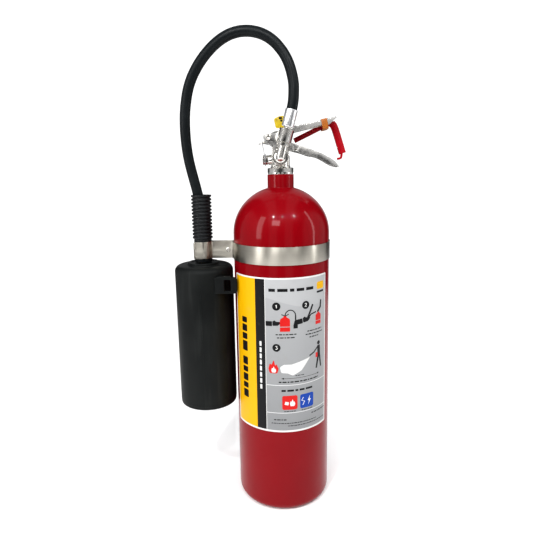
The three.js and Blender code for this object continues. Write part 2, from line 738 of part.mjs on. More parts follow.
add(valve, 'pivot_rivet', alongY(lathe([
  [0, -headFace - pivotHeadRise],
  [pivotHead * 0.6, -headFace - pivotHeadRise + 0.4],
  [pivotHead, -headFace],
  [pivotRadius, -headFace],
  [pivotRadius, headFace],
  [pivotHead, headFace],
  [pivotHead * 0.6, headFace + pivotHeadRise - 0.4],
  [0, headFace + pivotHeadRise],
], 24)).translate(pivotX, 0, pivotHeight), nickel);

// ---- Squeeze lever, in a group at its pivot that is tilted up to the lever's slope ----
const lever = new THREE.Group();
lever.position.set(pivotX, 0, pivotHeight);
lever.rotation.y = -THREE.MathUtils.degToRad(leverSlope);
valve.add(lever);
const leverWall = outline([
  ...arc(0, 0, leverDepth, 90, 230, 8),
  [20.7, -10],
  [27.5, -9.8],
  [40, -0.7],
  [96, 0.2],
  [leverLength - 1, leverDepth - 1.6],
  [leverLength, leverDepth],
]);
const intoLever = (x, z) => {
  const turned = new THREE.Vector2(x - pivotX, z - pivotHeight);
  turned.rotateAround(new THREE.Vector2(), -THREE.MathUtils.degToRad(leverSlope));
  return [turned.x, turned.y];
};
const lockLow = intoLever(pinX, pinHeight);
const lockHigh = intoLever(pinX, pinHeight + lockSlot);
add(lever, 'squeeze_lever', cut(
  join(
    plate(leverWall, -leverOuter, -leverInner),
    plate(leverWall, leverInner, leverOuter),
    block(-3, leverLength - 0.4, -leverOuter, leverOuter, leverDepth - gripSheet, leverDepth),
  ),
  alongY(rod(pivotRadius + gap, -headFace, headFace, 20)),
  plate(slot(...lockLow, ...lockHigh, pinRadius + gap), -headFace, headFace),
), aluminium);

// ---- Wall hook, stored for transport: a painted flat bar tied beside the lever ----
const hookFront = leverOuter + hookGap;
const hookSolid = (points, width) => {
  const curve = new THREE.SplineCurve(points.map(([x, z]) => new THREE.Vector2(...intoLever(x, z))));
  const line = curve.getPoints(points.length * 2).map(({ x, y }) => [x, y]);
  return plate(strip(line, width), hookFront, hookFront + hookDepth);
};
add(lever, 'wall_hook', join(
  hookSolid([[23.8, 52], [43, 61], [62.4, 70.2], [74.5, 75.4], [82, 76], [86, 72.4]], hookWidth),
  hookSolid([[80.6, 76], [84, 72], [88.5, 60], [97.8, 30.6]], hookWidth * 1.45),
  hookSolid([[96.6, 34], [96.2, 26.5], [94.6, 23.4], [89.6, 22.4]], hookWidth * 0.45),
), redPaint);
const tieFront = -leverOuter - gap;
const tieBack = hookFront + hookDepth + gap;
const tieHigh = leverDepth + gap;
add(lever, 'hook_tie', cut(
  block(tieAt - tieWidth / 2, tieAt + tieWidth / 2, tieFront - tieThickness, tieBack + tieThickness,
    tieLow - tieThickness, tieHigh + tieThickness),
  block(tieAt - tieWidth, tieAt + tieWidth, tieFront, tieBack, tieLow, tieHigh),
), orangePlastic);

// ---- Safety pin through the lever, the handle and the block, its pull ring, its seal ----
const pinFront = -leverOuter - pinFrontEnd;
const pinBack = leverOuter + pinBackEnd;
const ringY = pinBack - pinHeadLength / 2;
add(valve, 'safety_pin', cut(
  alongY(lathe([
    [0, pinFront],
    [pinRadius - 0.6, pinFront],
    [pinRadius, pinFront + 1],
    [pinRadius, pinBack - pinHeadLength - 0.4],
    [pinHead, pinBack - pinHeadLength],
    [pinHead, pinBack],
    [0, pinBack],
  ], 20)).translate(pinX, 0, pinHeight),
  alongX(rod(ringWire + ringPlay, -pinHead - 1, pinHead + 1, 12)).translate(pinX, ringY, pinHeight),
), springSteel);
add(valve, 'pull_ring', torus(ringRadius, ringWire).rotateX(Math.PI / 2)
  .translate(pinX, ringY, pinHeight - ringRadius + 0.5), springSteel);
const webTopAt = (x) => pivotHeight
  + (leverDepth / Math.cos(lever.rotation.y)) + (x - pivotX) * Math.tan(-lever.rotation.y);
const strapBottom = webTopAt(pinX + 2) + gap;
const strapTop = strapBottom + strapSheet;
const strapBack = leverOuter + gap;
const tagFoot = strapBottom + gap;
const eyeletFoot = pinHeight + pinRadius + 2 * gap;
add(valve, 'tamper_seal', join(
  plate(outline([
    ...arc(tagX + tagCorner, tagFoot + tagCorner + 1, tagCorner, 180, 270, 3),
    ...arc(tagX + tagWidth - tagCorner - 1, tagFoot + tagCorner + 1, tagCorner, 270, 360, 3),
    ...arc(tagX + tagWidth - tagCorner + tagLean / 2, tagFoot + tagHeight - tagCorner, tagCorner, 0, 90, 3),
    ...arc(tagX + tagCorner + tagLean, tagFoot + tagHeight - tagCorner - 2, tagCorner, 90, 180, 3),
  ]), -tagThickness / 2, tagThickness / 2),
  block(3, 6, -strapSheet, strapSheet, strapBottom, tagFoot + tagCorner),
  block(3, pinX + strapWidth / 2, -2, strapBack + strapSheet, strapBottom, strapTop),
  block(pinX - strapWidth / 2, pinX + strapWidth / 2, strapBack, strapBack + strapSheet,
    eyeletFoot, strapTop),
  alongY(ring(pinRadius + gap, pinRadius + 5 * gap, strapBack, strapBack + strapSheet, 20))
    .translate(pinX, 0, pinHeight),
), yellowPlastic);

export default extinguisher;
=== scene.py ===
import math

import bmesh
import bpy
from mathutils import Matrix, Vector


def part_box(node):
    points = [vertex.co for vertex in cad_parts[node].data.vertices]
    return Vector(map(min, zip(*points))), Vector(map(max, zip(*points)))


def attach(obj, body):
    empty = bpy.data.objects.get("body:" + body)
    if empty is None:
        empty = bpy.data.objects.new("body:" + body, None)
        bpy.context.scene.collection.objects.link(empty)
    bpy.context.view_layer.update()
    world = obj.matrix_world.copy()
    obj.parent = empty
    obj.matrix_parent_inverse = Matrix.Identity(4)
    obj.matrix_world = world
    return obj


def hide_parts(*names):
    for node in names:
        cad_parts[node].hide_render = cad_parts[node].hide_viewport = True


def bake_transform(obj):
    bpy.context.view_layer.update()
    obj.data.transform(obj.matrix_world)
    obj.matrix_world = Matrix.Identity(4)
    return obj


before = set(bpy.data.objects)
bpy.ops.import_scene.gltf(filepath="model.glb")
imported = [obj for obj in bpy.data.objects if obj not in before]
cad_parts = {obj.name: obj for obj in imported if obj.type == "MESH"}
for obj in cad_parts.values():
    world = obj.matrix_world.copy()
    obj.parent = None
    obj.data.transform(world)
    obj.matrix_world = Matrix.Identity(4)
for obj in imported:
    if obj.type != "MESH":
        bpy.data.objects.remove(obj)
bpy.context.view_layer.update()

# ---- Camera, floor and lights ----
# The extinguisher stands on a plain pale floor under soft studio light: tall soft boxes on the left
# and the right, a broad one in front, three small lamps and a wide ceiling light. The polished
# metal reflects a dark room with a few paler uprights.
scene = bpy.context.scene
scene.view_settings.view_transform = "Standard"
scene.view_settings.look = "Medium High Contrast"

eye = Vector((0, -0.76371, 0.54284))
yaw = math.radians(-1.8236)
pitch = math.radians(11.204)
roll = math.radians(-0.9477)
forward = Vector((
    math.sin(yaw) * math.cos(pitch),
    math.cos(yaw) * math.cos(pitch),
    -math.sin(pitch),
))
level = Vector((math.cos(yaw), -math.sin(yaw), 0))
sky = level.cross(forward)
right = math.cos(roll) * level + math.sin(roll) * sky
up = math.cos(roll) * sky - math.sin(roll) * level
lens = bpy.data.cameras.new("camera")
lens.sensor_width = 36
lens.lens = 32.44
lens.clip_start = 0.01
camera = bpy.data.objects.new("camera", lens)
camera.matrix_world = Matrix.Translation(eye) @ Matrix((right, up, -forward)).transposed().to_4x4()
scene.collection.objects.link(camera)
scene.camera = camera

floor_mesh = bpy.data.meshes.new("floor")
floor_shape = bmesh.new()
bmesh.ops.create_grid(floor_shape, x_segments=1, y_segments=1, size=1.1)
floor_shape.to_mesh(floor_mesh)
floor_shape.free()
floor = bpy.data.objects.new("floor", floor_mesh)
scene.collection.objects.link(floor)
floor_paint = bpy.data.materials.new("floor_paint")
floor_paint.use_nodes = True
floor_shader = floor_paint.node_tree.nodes["Principled BSDF"]
floor_shader.inputs["Base Color"].default_value = (0.93, 0.93, 0.93, 1)
floor_shader.inputs["Roughness"].default_value = 0.8
floor_shader.inputs["Specular IOR Level"].default_value = 0.1
floor_mesh.materials.append(floor_paint)


def soft_box(name, place, aim, width, height, power):
    """A flat soft light that faces a point."""
    data = bpy.data.lights.new(name, "AREA")
    data.shape = "RECTANGLE"
    data.size = width
    data.size_y = height
    data.energy = power
    box = bpy.data.objects.new(name, data)
    box.location = place
    box.rotation_euler = (Vector(aim) - Vector(place)).to_track_quat("-Z", "Y").to_euler()
    scene.collection.objects.link(box)


middle = (0, 0, 0.38)
lamp_places = ((-0.5, -1.2, 1.7), (0.1, -1.5, 1.9), (0.75, -0.9, 1.6))
soft_box("left_box", (-1.3, -1.0, 0.95), middle, 0.4, 1.5, 11)
soft_box("right_box", (1.5, -0.25, 0.9), middle, 0.16, 1.6, 5)
soft_box("front_box", (-0.45, -1.9, 1.6), middle, 0.7, 0.5, 11)
for count, place in enumerate(lamp_places):
    soft_box(f"lamp_{count}", place, middle, 0.04, 0.04, 7)
ceiling = bpy.data.lights.new("ceiling", "SUN")
ceiling.energy = 1.55
ceiling.angle = math.radians(75)
ceiling_lamp = bpy.data.objects.new("ceiling", ceiling)
ceiling_lamp.rotation_euler = (math.radians(14), math.radians(-10), 0)
ceiling_lamp.visible_glossy = False
scene.collection.objects.link(ceiling_lamp)

# The room is white where the camera sees it, and elsewhere dark with paler uprights.
room = bpy.data.worlds.new("room")
room.use_nodes = True
scene.world = room
walls = room.node_tree
ground = walls.nodes["Background"]
direction = walls.nodes.new("ShaderNodeTexCoord")
uprights = walls.nodes.new("ShaderNodeTexWave")
uprights.wave_type = "BANDS"
uprights.bands_direction = "X"
uprights.inputs["Scale"].default_value = 0.5
uprights.inputs["Distortion"].default_value = 0.5
shades = walls.nodes.new("ShaderNodeValToRGB")
shades.color_ramp.elements[0].position = 0.3
shades.color_ramp.elements[0].color = (0.01, 0.01, 0.01, 1)
shades.color_ramp.elements[1].position = 0.75
shades.color_ramp.elements[1].color = (0.55, 0.55, 0.56, 1)
path = walls.nodes.new("ShaderNodeLightPath")
seen = walls.nodes.new("ShaderNodeMix")
seen.data_type = "RGBA"
seen.inputs[7].default_value = (1, 1, 1, 1)
walls.links.new(direction.outputs["Generated"], uprights.inputs["Vector"])
walls.links.new(uprights.outputs["Fac"], shades.inputs["Fac"])
walls.links.new(shades.outputs["Color"], seen.inputs[6])
walls.links.new(path.outputs["Is Camera Ray"], seen.inputs[0])
walls.links.new(seen.outputs[2], ground.inputs["Color"])

# ---- Discharge hose ----
# A smooth black rubber hose with a wire braid inside, 15.8 mm across. It is crimped into the
# ferrule at the valve, stands up in one stiff loop and goes down into the cup of the horn's grip.
PER_MM = 0.001


class Varying:
    """A value that changes over a surface. Sums on it add Math nodes to its finish."""

    def __init__(self, finish, socket):
        self.finish = finish
        self.socket = socket

    def maths(self, operation, *others):
        values = dict(enumerate((self, *others)))
        return self.finish.node("ShaderNodeMath", {"operation": operation}, values)

    def __add__(self, other):
        return self.maths("ADD", other)

    def __sub__(self, other):
        return self.maths("SUBTRACT", other)

    def __rsub__(self, other):
        return self * -1 + other

    def __mul__(self, other):
        return self.maths("MULTIPLY", other)

    def __gt__(self, other):
        return self.maths("GREATER_THAN", other)

    def __lt__(self, other):
        return self.maths("LESS_THAN", other)

    __radd__ = __add__
    __rmul__ = __mul__


class Finish:
    """A material that is being mixed, and the record's slot that it belongs to."""

    def __init__(self, name, slot, colour, roughness, **shader):
        self.slot = slot
        self.material = bpy.data.materials.new(name)
        self.material.use_nodes = True
        self.tree = self.material.node_tree
        self.shader = self.tree.nodes["Principled BSDF"]
        self.set("Base Color", colour)
        self.set("Roughness", roughness)
        for socket, value in shader.items():
            self.set(socket.replace("_", " "), value)

    def set(self, socket, value):
        """Gives one of the shader's sockets a number, a colour or something that varies."""
        self.feed(self.shader.inputs[socket], value)

    def feed(self, socket, value):
        """Links what varies to a socket, or sets the socket's own value."""
        if isinstance(value, Varying):
            self.tree.links.new(value.socket, socket)
        elif isinstance(value, tuple) and len(value) == 3 and socket.type == "RGBA":
            socket.default_value = (*value, 1)
        else:
            socket.default_value = value

    def node(self, kind, settings=None, inputs=None, out=0):
        """Adds a node: its settings first, then the values and links of its sockets."""
        made = self.tree.nodes.new(kind)
        for setting, value in (settings or {}).items():
            if setting == "stops":
                ends = made.color_ramp.elements
                for stop, (place, shade) in zip((ends[0], ends[1]), value):
                    stop.position = place
                    stop.color = (shade, shade, shade, 1)
            else:
                setattr(made, setting, value)
        for key, value in (inputs or {}).items():
            self.feed(made.inputs[key], value)
        return Varying(self, made.outputs[out])

    def place(self, stretch=(1, 1, 1)):
        """Where a point is on the piece, in metres, stretched along the axes."""
        point = self.node("ShaderNodeTexCoord", out="Object")
        return self.node("ShaderNodeMapping", {}, {"Vector": point, "Scale": stretch})

    def along(self, axis):
        """A point's place along one axis, in millimetres."""
        point = self.node("ShaderNodeTexCoord", out="Object")
        return self.node("ShaderNodeSeparateXYZ", {}, {0: point}, out=axis) * (1 / PER_MM)

    def noise(self, scale, stretch=(1, 1, 1), detail=2, where=None):
        """Soft noise over the surface. A higher detail adds finer noise to it."""
        return self.node("ShaderNodeTexNoise", {}, {
            "Vector": where or self.place(stretch), "Scale": scale, "Detail": detail,
        })

    def spread(self, value, low, high):
        """A value drawn apart, so that low becomes 0 and high becomes 1."""
        return self.node("ShaderNodeMapRange", {}, {0: value, 1: low, 2: high})

    def blend(self, share, one, other):
        """One colour where share is 0, and the other where it is 1."""
        colours = {0: share, 6: one, 7: other}
        return self.node("ShaderNodeMix", {"data_type": "RGBA"}, colours, out=2)

    def bump(self, height, depth, strength=1.0):
        """Raises the surface by up to depth, in millimetres."""
        self.set("Normal", self.node("ShaderNodeBump", {}, {
            "Height": height, "Distance": depth * PER_MM, "Strength": strength,
        }))


def rubber(name, slot, shade, roughness, grain, shine=0.16):
    """Black rubber with a fine moulded grain, and paler where hands and dust have been."""
    finish = Finish(name, slot, shade, roughness, Specular_IOR_Level=shine)
    handled = finish.spread(finish.noise(28, detail=5), 0.5, 0.8)
    paler = tuple(1.8 * part + 0.003 for part in shade)
    finish.set("Base Color", finish.blend(handled * 0.5, shade, paler))
    finish.set("Roughness", roughness + handled * 0.12 + finish.noise(260) * 0.08)
    finish.bump(finish.noise(1500, detail=3), grain, 0.5)
    return finish


hose_rubber = rubber("hose_rubber", "hose_rubber", (0.007, 0.009, 0.01), 0.34, 0.05)

hose_diameter = 0.0158
hose_route = [
    (0.0131, -0.0305, 0.6148), (0.0173, -0.0305, 0.631), (0.0194, -0.0302, 0.642),
    (0.0203, -0.0294, 0.655), (0.0201, -0.0282, 0.668), (0.018, -0.027, 0.68),
    (0.014, -0.0256, 0.694), (0.0085, -0.024, 0.706), (0.001, -0.0225, 0.717),
    (-0.009, -0.0215, 0.7275), (-0.021, -0.0205, 0.7355), (-0.034, -0.0195, 0.7403),
    (-0.05, -0.0185, 0.7423), (-0.066, -0.017, 0.7405), (-0.08, -0.016, 0.7352),
    (-0.093, -0.015, 0.727), (-0.1045, -0.014, 0.717), (-0.115, -0.013, 0.7055),
    (-0.1243, -0.012, 0.6925), (-0.1318, -0.011, 0.679), (-0.1375, -0.01, 0.664),
    (-0.1413, -0.0088, 0.648), (-0.1438, -0.0078, 0.632), (-0.145, -0.0068, 0.615),
    (-0.1451, -0.0058, 0.598), (-0.1443, -0.0044, 0.581), (-0.1424, -0.0032, 0.564),
    (-0.1395, -0.0022, 0.548), (-0.136, -0.0012, 0.532), (-0.1324, -0.0005, 0.516),
    (-0.1294, 0, 0.501), (-0.1272, 0, 0.488), (-0.1261, 0, 0.476),
]
hose_line = bpy.data.curves.new("hose_line", "CURVE")
hose_line.dimensions = "3D"
hose_line.bevel_depth = hose_diameter / 2
hose_line.bevel_resolution = 6
hose_line.resolution_u = 6
hose_line.use_fill_caps = True
spline = hose_line.splines.new("BEZIER")
spline.bezier_points.add(len(hose_route) - 1)
for point, place in zip(spline.bezier_points, hose_route):
    point.co = place
    point.handle_left_type = "AUTO"
    point.handle_right_type = "AUTO"
hose_former = bpy.data.objects.new("hose_former", hose_line)
scene.collection.objects.link(hose_former)
bpy.context.view_layer.update()
hose_mesh = bpy.data.meshes.new_from_object(
    hose_former.evaluated_get(bpy.context.evaluated_depsgraph_get())
)
bpy.data.objects.remove(hose_former)
hose_mesh.shade_smooth()
hose_mesh.materials.clear()
hose_mesh.materials.append(hose_rubber.material)
hose = bpy.data.objects.new("rubber_hose", hose_mesh)
scene.collection.objects.link(hose)
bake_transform(hose)
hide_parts("discharge_hose")

# ---- Cylinder ----
# One steel shell, spun from tube: a flat base with a rounded corner, a straight wall, a domed
# shoulder and a thick neck that the valve screws into. It is sprayed with glossy red enamel.
def extent(node):
    """A CAD node's lowest and highest corners, in millimetres."""
    return [corner / PER_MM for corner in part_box(node)]


def softened(points, closed=False, steps=4):
    """An outline with rounded corners: a point is (x, y), or (x, y, its corner's radius)."""
    line = []
    for i, (x, y, *radius) in enumerate(points):
        here = Vector((x, y))
        if not radius or (not closed and i in (0, len(points) - 1)):
            line.append(here)
            continue
        back = Vector(points[i - 1][:2]) - here
        on = Vector(points[(i + 1) % len(points)][:2]) - here
        half = back.angle(on) / 2
        reach = min(radius[0] / math.tan(half), 0.49 * back.length, 0.49 * on.length)
        size = reach * math.tan(half)
        centre = here + (back.normalized() + on.normalized()).normalized() * size / math.sin(half)
        first = (here + back.normalized() * reach - centre).normalized()
        last = (here + on.normalized() * reach - centre).normalized()
        line += [centre + first.slerp(last, step / steps) * size for step in range(steps + 1)]
    return line


def spun(profile, steps=64, closed=True):
    """A profile of (radius, height) points turned once round the Z axis."""
    shape = bmesh.new()
    points = [shape.verts.new((radius, 0, height)) for radius, height in profile]
    pairs = list(zip(points, points[1:]))
    if closed and profile[0][0] > 0:
        pairs.append((points[-1], points[0]))
    edges = [shape.edges.new(pair) for pair in pairs]
    bmesh.ops.spin(
        shape, geom=points + edges, axis=(0, 0, 1), cent=(0, 0, 0), steps=steps,
        angle=2 * math.pi, use_merge=True,
    )
    bmesh.ops.remove_doubles(shape, verts=shape.verts, dist=1e-4)
    bmesh.ops.recalc_face_normals(shape, faces=shape.faces)
    return shape


def moved(shape, *turns):
    """A shape turned and put in its place, the last turn first."""
    for turn in reversed(turns):
        bmesh.ops.transform(shape, matrix=turn, verts=shape.verts)
    return shape


def together(*shapes):
    """Several closed shapes as one piece."""
    whole = bmesh.new()
    for shape in shapes:
        carrier = bpy.data.meshes.new("carrier")
        shape.to_mesh(carrier)
        shape.free()
        whole.from_mesh(carrier)
        bpy.data.meshes.remove(carrier)
    return whole


def fit(name, shape, finish, body, *nodes, crease=32):
    """Makes a shape in millimetres into a piece of the extinguisher that rides on a body."""
    mesh = bpy.data.meshes.new(name)
    moved(shape, Matrix.Scale(PER_MM, 4))
    shape.to_mesh(mesh)
    shape.free()
    mesh.shade_smooth()
    mesh.set_sharp_from_angle(angle=math.radians(crease))
    mesh.materials.append(finish.material)
    piece = bpy.data.objects.new(name, mesh)
    scene.collection.objects.link(piece)
    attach(piece, body)
    if nodes:
        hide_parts(*nodes)
    return piece


def enamel(name, slot, colour, coat):
    """Sprayed enamel: a slight orange peel, faint cloudy patches, fine dust and rubbed spots."""
    finish = Finish(
        name, slot, colour, 0.3, Specular_IOR_Level=0.05, Coat_Weight=coat, Coat_Roughness=0.03,
        Coat_IOR=1.4,
    )
    cloud = finish.spread(finish.noise(9, detail=3), 0.35, 0.7)
    finish.set("Base Color", finish.blend(
        cloud * 0.5, colour, tuple(0.8 * part for part in colour),
    ))
    finish.set("Roughness", 0.26 + finish.noise(35, detail=4) * 0.12)
    finish.bump(finish.noise(330, detail=1), 0.035, 0.35)
    return finish


red_enamel = enamel("red_enamel", "red_paint", (0.2, 0.001, 0.005), 0.38)

radius = extent("cylinder_shell")[1].x
neck_top = extent("cylinder_shell")[1].z
neck = 20.5
bore = 12.8
wall = 5
base_corner = 14
base_thickness = 9
shoulder = 447
dome_height = 73


def dome(across, height, meet, steps):
    """The shoulder's curve, from the wall up to where it meets a neck."""
    last = math.acos(meet / across)
    turns = [last * step / steps for step in range(steps + 1)]
    return [(across * math.cos(turn), shoulder + height * math.sin(turn)) for turn in turns]


outside = dome(radius, dome_height, neck + 2.5, 22)
neck_foot = outside[-1][1] + 0.6
inside = dome(radius - wall, dome_height - wall, bore, 12)
fit("cylinder", spun([
    *softened([(0, 0), (radius, 0, base_corner), (radius, shoulder - 60)], steps=8),
    *outside[:-1],
    *softened([
        outside[-1], (neck, neck_foot, 2), (neck, neck_top, 1), (bore, neck_top), inside[-1],
    ])[1:-1],
    *reversed(inside),
    *softened([
        (radius - wall, shoulder - 60), (radius - wall, base_thickness, 12), (0, base_thickness),
    ], steps=5),
], steps=112), red_enamel, "cylinder", "cylinder_shell", crease=45)

# ---- Label ----
# A printed plastic film on the front of the cylinder: a yellow and a black stripe, then a pale
# grey panel with three numbered steps. It is stuck on, with a bare white margin all round.
label_low, label_high = extent("label_sheet")
film_reach = 0.8
film_thickness = 0.45
label_radius = radius + film_reach
label_left = -math.radians(67) * label_radius
label_right = math.radians(61.5) * label_radius
margin = 2.4


def outlined(*loops):
    """A flat face inside an outline. Further loops are holes in it."""
    shape = bmesh.new()
    for loop in loops:
        points = [shape.verts.new((x, y, 0)) for x, y in loop]
        for pair in zip(points, points[1:] + points[:1]):
            shape.edges.new(pair)
    bmesh.ops.triangle_fill(shape, use_beauty=True, edges=shape.edges[:])
    bmesh.ops.recalc_face_normals(shape, faces=shape.faces)
    if sum(face.normal.z for face in shape.faces) < 0:
        bmesh.ops.reverse_faces(shape, faces=shape.faces)
    return shape


def thick(shape, depth):
    """Gives a flat face its depth along Z, as a closed solid."""
    grown = bmesh.ops.extrude_face_region(shape, geom=shape.faces[:])
    top = [part for part in grown["geom"] if isinstance(part, bmesh.types.BMVert)]
    bmesh.ops.translate(shape, vec=(0, 0, depth), verts=top)
    bmesh.ops.recalc_face_normals(shape, faces=shape.faces)
    return shape


def wrapped(shape, lift, step=3.0):
    """Bends a flat print, with X along the front and Y up, round the cylinder."""
    low = min(vertex.co.x for vertex in shape.verts)
    high = max(vertex.co.x for vertex in shape.verts)
    for count in range(math.ceil(low / step), math.ceil(high / step)):
        bmesh.ops.bisect_plane(
            shape, geom=shape.verts[:] + shape.edges[:] + shape.faces[:],
            plane_co=(count * step, 0, 0), plane_no=(1, 0, 0),
        )
    for vertex in shape.verts:
        turn = vertex.co.x / label_radius
        reach = label_radius + lift + vertex.co.z
        vertex.co = (reach * math.sin(turn), -reach * math.cos(turn), vertex.co.y)
    return shape


def box_of(x0, x1, y0, y1, rounding=0.0):
    """The outline of a box, with round corners where a rounding is given."""
    corners = [(x0, y0), (x1, y0), (x1, y1), (x0, y1)]
    if rounding:
        corners = softened([(x, y, rounding) for x, y in corners], closed=True)
    return corners


def disc(x, y, size, steps=24):
    """The outline of a disc round a point."""
    turns = [2 * math.pi * step / steps for step in range(steps)]
    return [(x + size * math.cos(turn), y + size * math.sin(turn)) for turn in turns]


def stroke(points, width):
    """The outline of a line drawn with a flat pen."""
    line = [Vector(point) for point in points]
    sides = ([], [])
    for i, here in enumerate(line):
        run = (line[min(i + 1, len(line) - 1)] - line[max(i - 1, 0)]).normalized()
        across = Vector((-run.y, run.x)) * width / 2
        sides[0].append(here + across)
        sides[1].append(here - across)
    return sides[0] + sides[1][::-1]


bare_film = (0.62, 0.61, 0.6)
printed_film = Finish("printed_film", "printed_label", bare_film, 0.34, Specular_IOR_Level=0.2)
film_turn = printed_film.along("X").maths("ARCTAN2", printed_film.along("Y") * -1)
film_x = film_turn * label_radius
film_z = printed_film.along("Z")


def band_of(value, low, high):
    """1 between two values, and 0 outside them."""
    return (value > low) * (value < high)


yellow = (0.66, 0.36, 0.001)
yellow_width = 45
black_width = 16
stripe_left = label_left + margin
black_left = stripe_left + yellow_width
panel_left = black_left + black_width
panel_right = label_right - margin
panel_low = label_low.z + margin + 0.6
panel_high = label_high.z - margin
printed_rows = band_of(film_z, panel_low, panel_high)
panel_sheen = printed_film.spread(film_z + film_x * 0.5, panel_low, panel_high)
panel_grey = printed_film.blend(panel_sheen, (0.22, 0.225, 0.23), (0.34, 0.345, 0.35))
# A paler wave runs across the panel, behind its title.
sweep_foot = 353
sweep = band_of(film_z - sweep_foot + (film_x * 0.035).maths("SINE") * 9, -1.0, 60)
panel_grey = printed_film.blend(
    sweep * band_of(film_x, panel_left, panel_right) * 0.35, panel_grey, (0.44, 0.445, 0.45),
)
rule_width = 0.9
rule_heights = (220, 174)
film_colour = printed_film.blend(
    printed_rows * band_of(film_x, panel_left + rule_width, panel_right), bare_film, panel_grey,
)
film_colour = printed_film.blend(
    printed_rows * band_of(film_x, stripe_left, black_left), film_colour, yellow,
)
film_colour = printed_film.blend(
    printed_rows * band_of(film_x, black_left, panel_left), film_colour, (0.006, 0.006, 0.007),
)
for rule in rule_heights:
    film_colour = printed_film.blend(
        band_of(film_z, rule, rule + rule_width) * band_of(film_x, panel_left, panel_right),
        film_colour, (0.62, 0.62, 0.62),
    )
film_wear = printed_film.spread(printed_film.noise(45, detail=6), 0.62, 0.85)
printed_film.set("Base Color", printed_film.blend(film_wear * 0.25, film_colour, (0.25, 0.23, 0.2)))
printed_film.set("Roughness", 0.3 + printed_film.noise(60, detail=4) * 0.12)
printed_film.bump(printed_film.noise(120, detail=2), 0.03, 0.25)

film_outline = box_of(label_left, label_right, label_low.z, label_high.z, 2)
film = thick(outlined(film_outline), -film_thickness)
fit("printed_label", wrapped(film, 0), printed_film, "cylinder", "label_sheet")


def ink(name, colour):
    """Glossy printing ink with a slightly uneven cover."""
    finish = Finish(name, "printed_label", colour, 0.32, Specular_IOR_Level=0.2)
    cover = finish.spread(finish.noise(500, detail=2), 0.3, 0.75)
    finish.set("Base Color", finish.blend(
        cover * 0.25, colour, tuple(0.85 * part + 0.02 for part in colour),
    ))
    finish.set("Roughness", 0.3 + finish.noise(60, detail=4) * 0.12)
    return finish


def seated(points, x, y, size=1.0, turn=0.0):
    """An outline moved to its place on the panel."""
    across = Matrix.Rotation(math.radians(turn), 2)
    return [across @ Vector(point) * size + Vector((x, y)) for point in points]


def cylinder_sign(x, y, size):
    """A small extinguisher: its body in two parts with a bare line between, and its neck."""
    dome_line = softened([(-6.6, 4.4), (-6.6, 9, 3.6), (-2, 11.4), (-2, 13), (2, 13),
                          (2, 11.4), (6.6, 9, 3.6), (6.6, 4.4)])
    return [
        seated(box_of(-6.6, 6.6, -8, -2.2), x, y, size),
        seated(box_of(-6.6, 6.6, -1.2, 4.4), x, y, size),
        seated(dome_line, x, y, size),
    ]


def hand_sign(x, y, size, turn=0.0):
    """A cuff and a mitten-shaped hand."""
    return [
        seated(box_of(-9, -1, -3, 3, 0.6), x, y, size, turn),
        seated(softened([
            (-0.4, -2.6, 1), (6, -2.2, 1), (9.5, 0.4, 1), (9, 2.4, 0.8), (4, 2.6, 1), (2, 4.4, 0.8),
            (-0.4, 2.8, 0.6),
        ], closed=True), x, y, size, turn),
    ]


def flame_sign(x, y, size):
    """A flame with three tongues."""
    return seated(softened([
        (-4, -6, 2), (4, -6, 2), (5.4, -1, 2), (3, 4.4, 0.4), (2, 1.4, 0.6), (0.4, 8.6, 0.4),
        (-2, 2.6, 0.8), (-3.6, 4.6, 0.4), (-5.2, -1, 2),
    ], closed=True), x, y, size)


def numeral(figure, x, y):
    """The strokes of a 1, a 2 or a 3."""
    lines = {
        1: [[(-1.1, 1.5), (0.3, 2.6), (0.3, -2.6)]],
        2: [[
            (-1.4, 1.5), (-0.9, 2.4), (0.4, 2.5), (1.4, 1.6), (1.1, 0.4), (-1.5, -2.4), (1.6, -2.4),
        ]],
        3: [[(-1.4, 2.3), (1.3, 2.4), (0, 0.5), (1.2, 0), (1.5, -1.2), (0.6, -2.4), (-1.5, -2.2)]],
    }
    return [seated(stroke(line, 1.1), x, y) for line in lines[figure]]


steps_at = {1: (-8.5, 345.8), 2: (37.2, 345.7), 3: (-9, 281.2)}
step_disc = 6.2
badge_left = 58.5
badge_right = 75
fire_tile = (11, 191.5)
power_tile = (39.5, 191.5)

hose_arch = [
    (12.5 + 8 * math.cos(turn * math.pi / 10), 331 + 9 * math.sin(turn * math.pi / 10))
    for turn in range(11)
]
black_print = [
    *[disc(*place, step_disc) for place in steps_at.values()],
    box_of(badge_left, badge_right, 361, 364, 1.2),
    stroke(hose_arch, 1.5),
    stroke([(20.5, 331), (20.5, 323)], 2),
    seated([(-1.6, 6), (1.6, 6), (3.4, -1), (3.4, -6), (-3.4, -6), (-3.4, -1)], 20.5, 317),
    *hand_sign(-14, 319, 1.25),
    *hand_sign(33, 322, 1.3, 8),
    stroke([(-1, 333.5), (5, 331), (10, 334)], 1.3),
    stroke([(41, 326), (46, 336), (50, 345)], 3),
    stroke([(40, 323), (47, 330), (57, 332)], 2),
    stroke([(60, 331), (67, 338), (68, 349)], 3.4),
    disc(63, 281, 3.2),
    seated(softened([
        (-3.4, 17, 1.5), (3, 17, 1.5), (3.6, 2), (6.8, -19), (4, -20), (0.6, -2), (-4.2, -20),
        (-7, -19), (-2.8, 2),
    ], closed=True), 63.5, 260),
    stroke([(62, 276), (53, 268), (44, 264)], 2.2),
    stroke([(2, 231.5), (60, 231.5)], 0.5),
    [(2, 233), (-2, 231.5), (2, 230)],
    [(60, 233), (60, 230), (64, 231.5)],
]
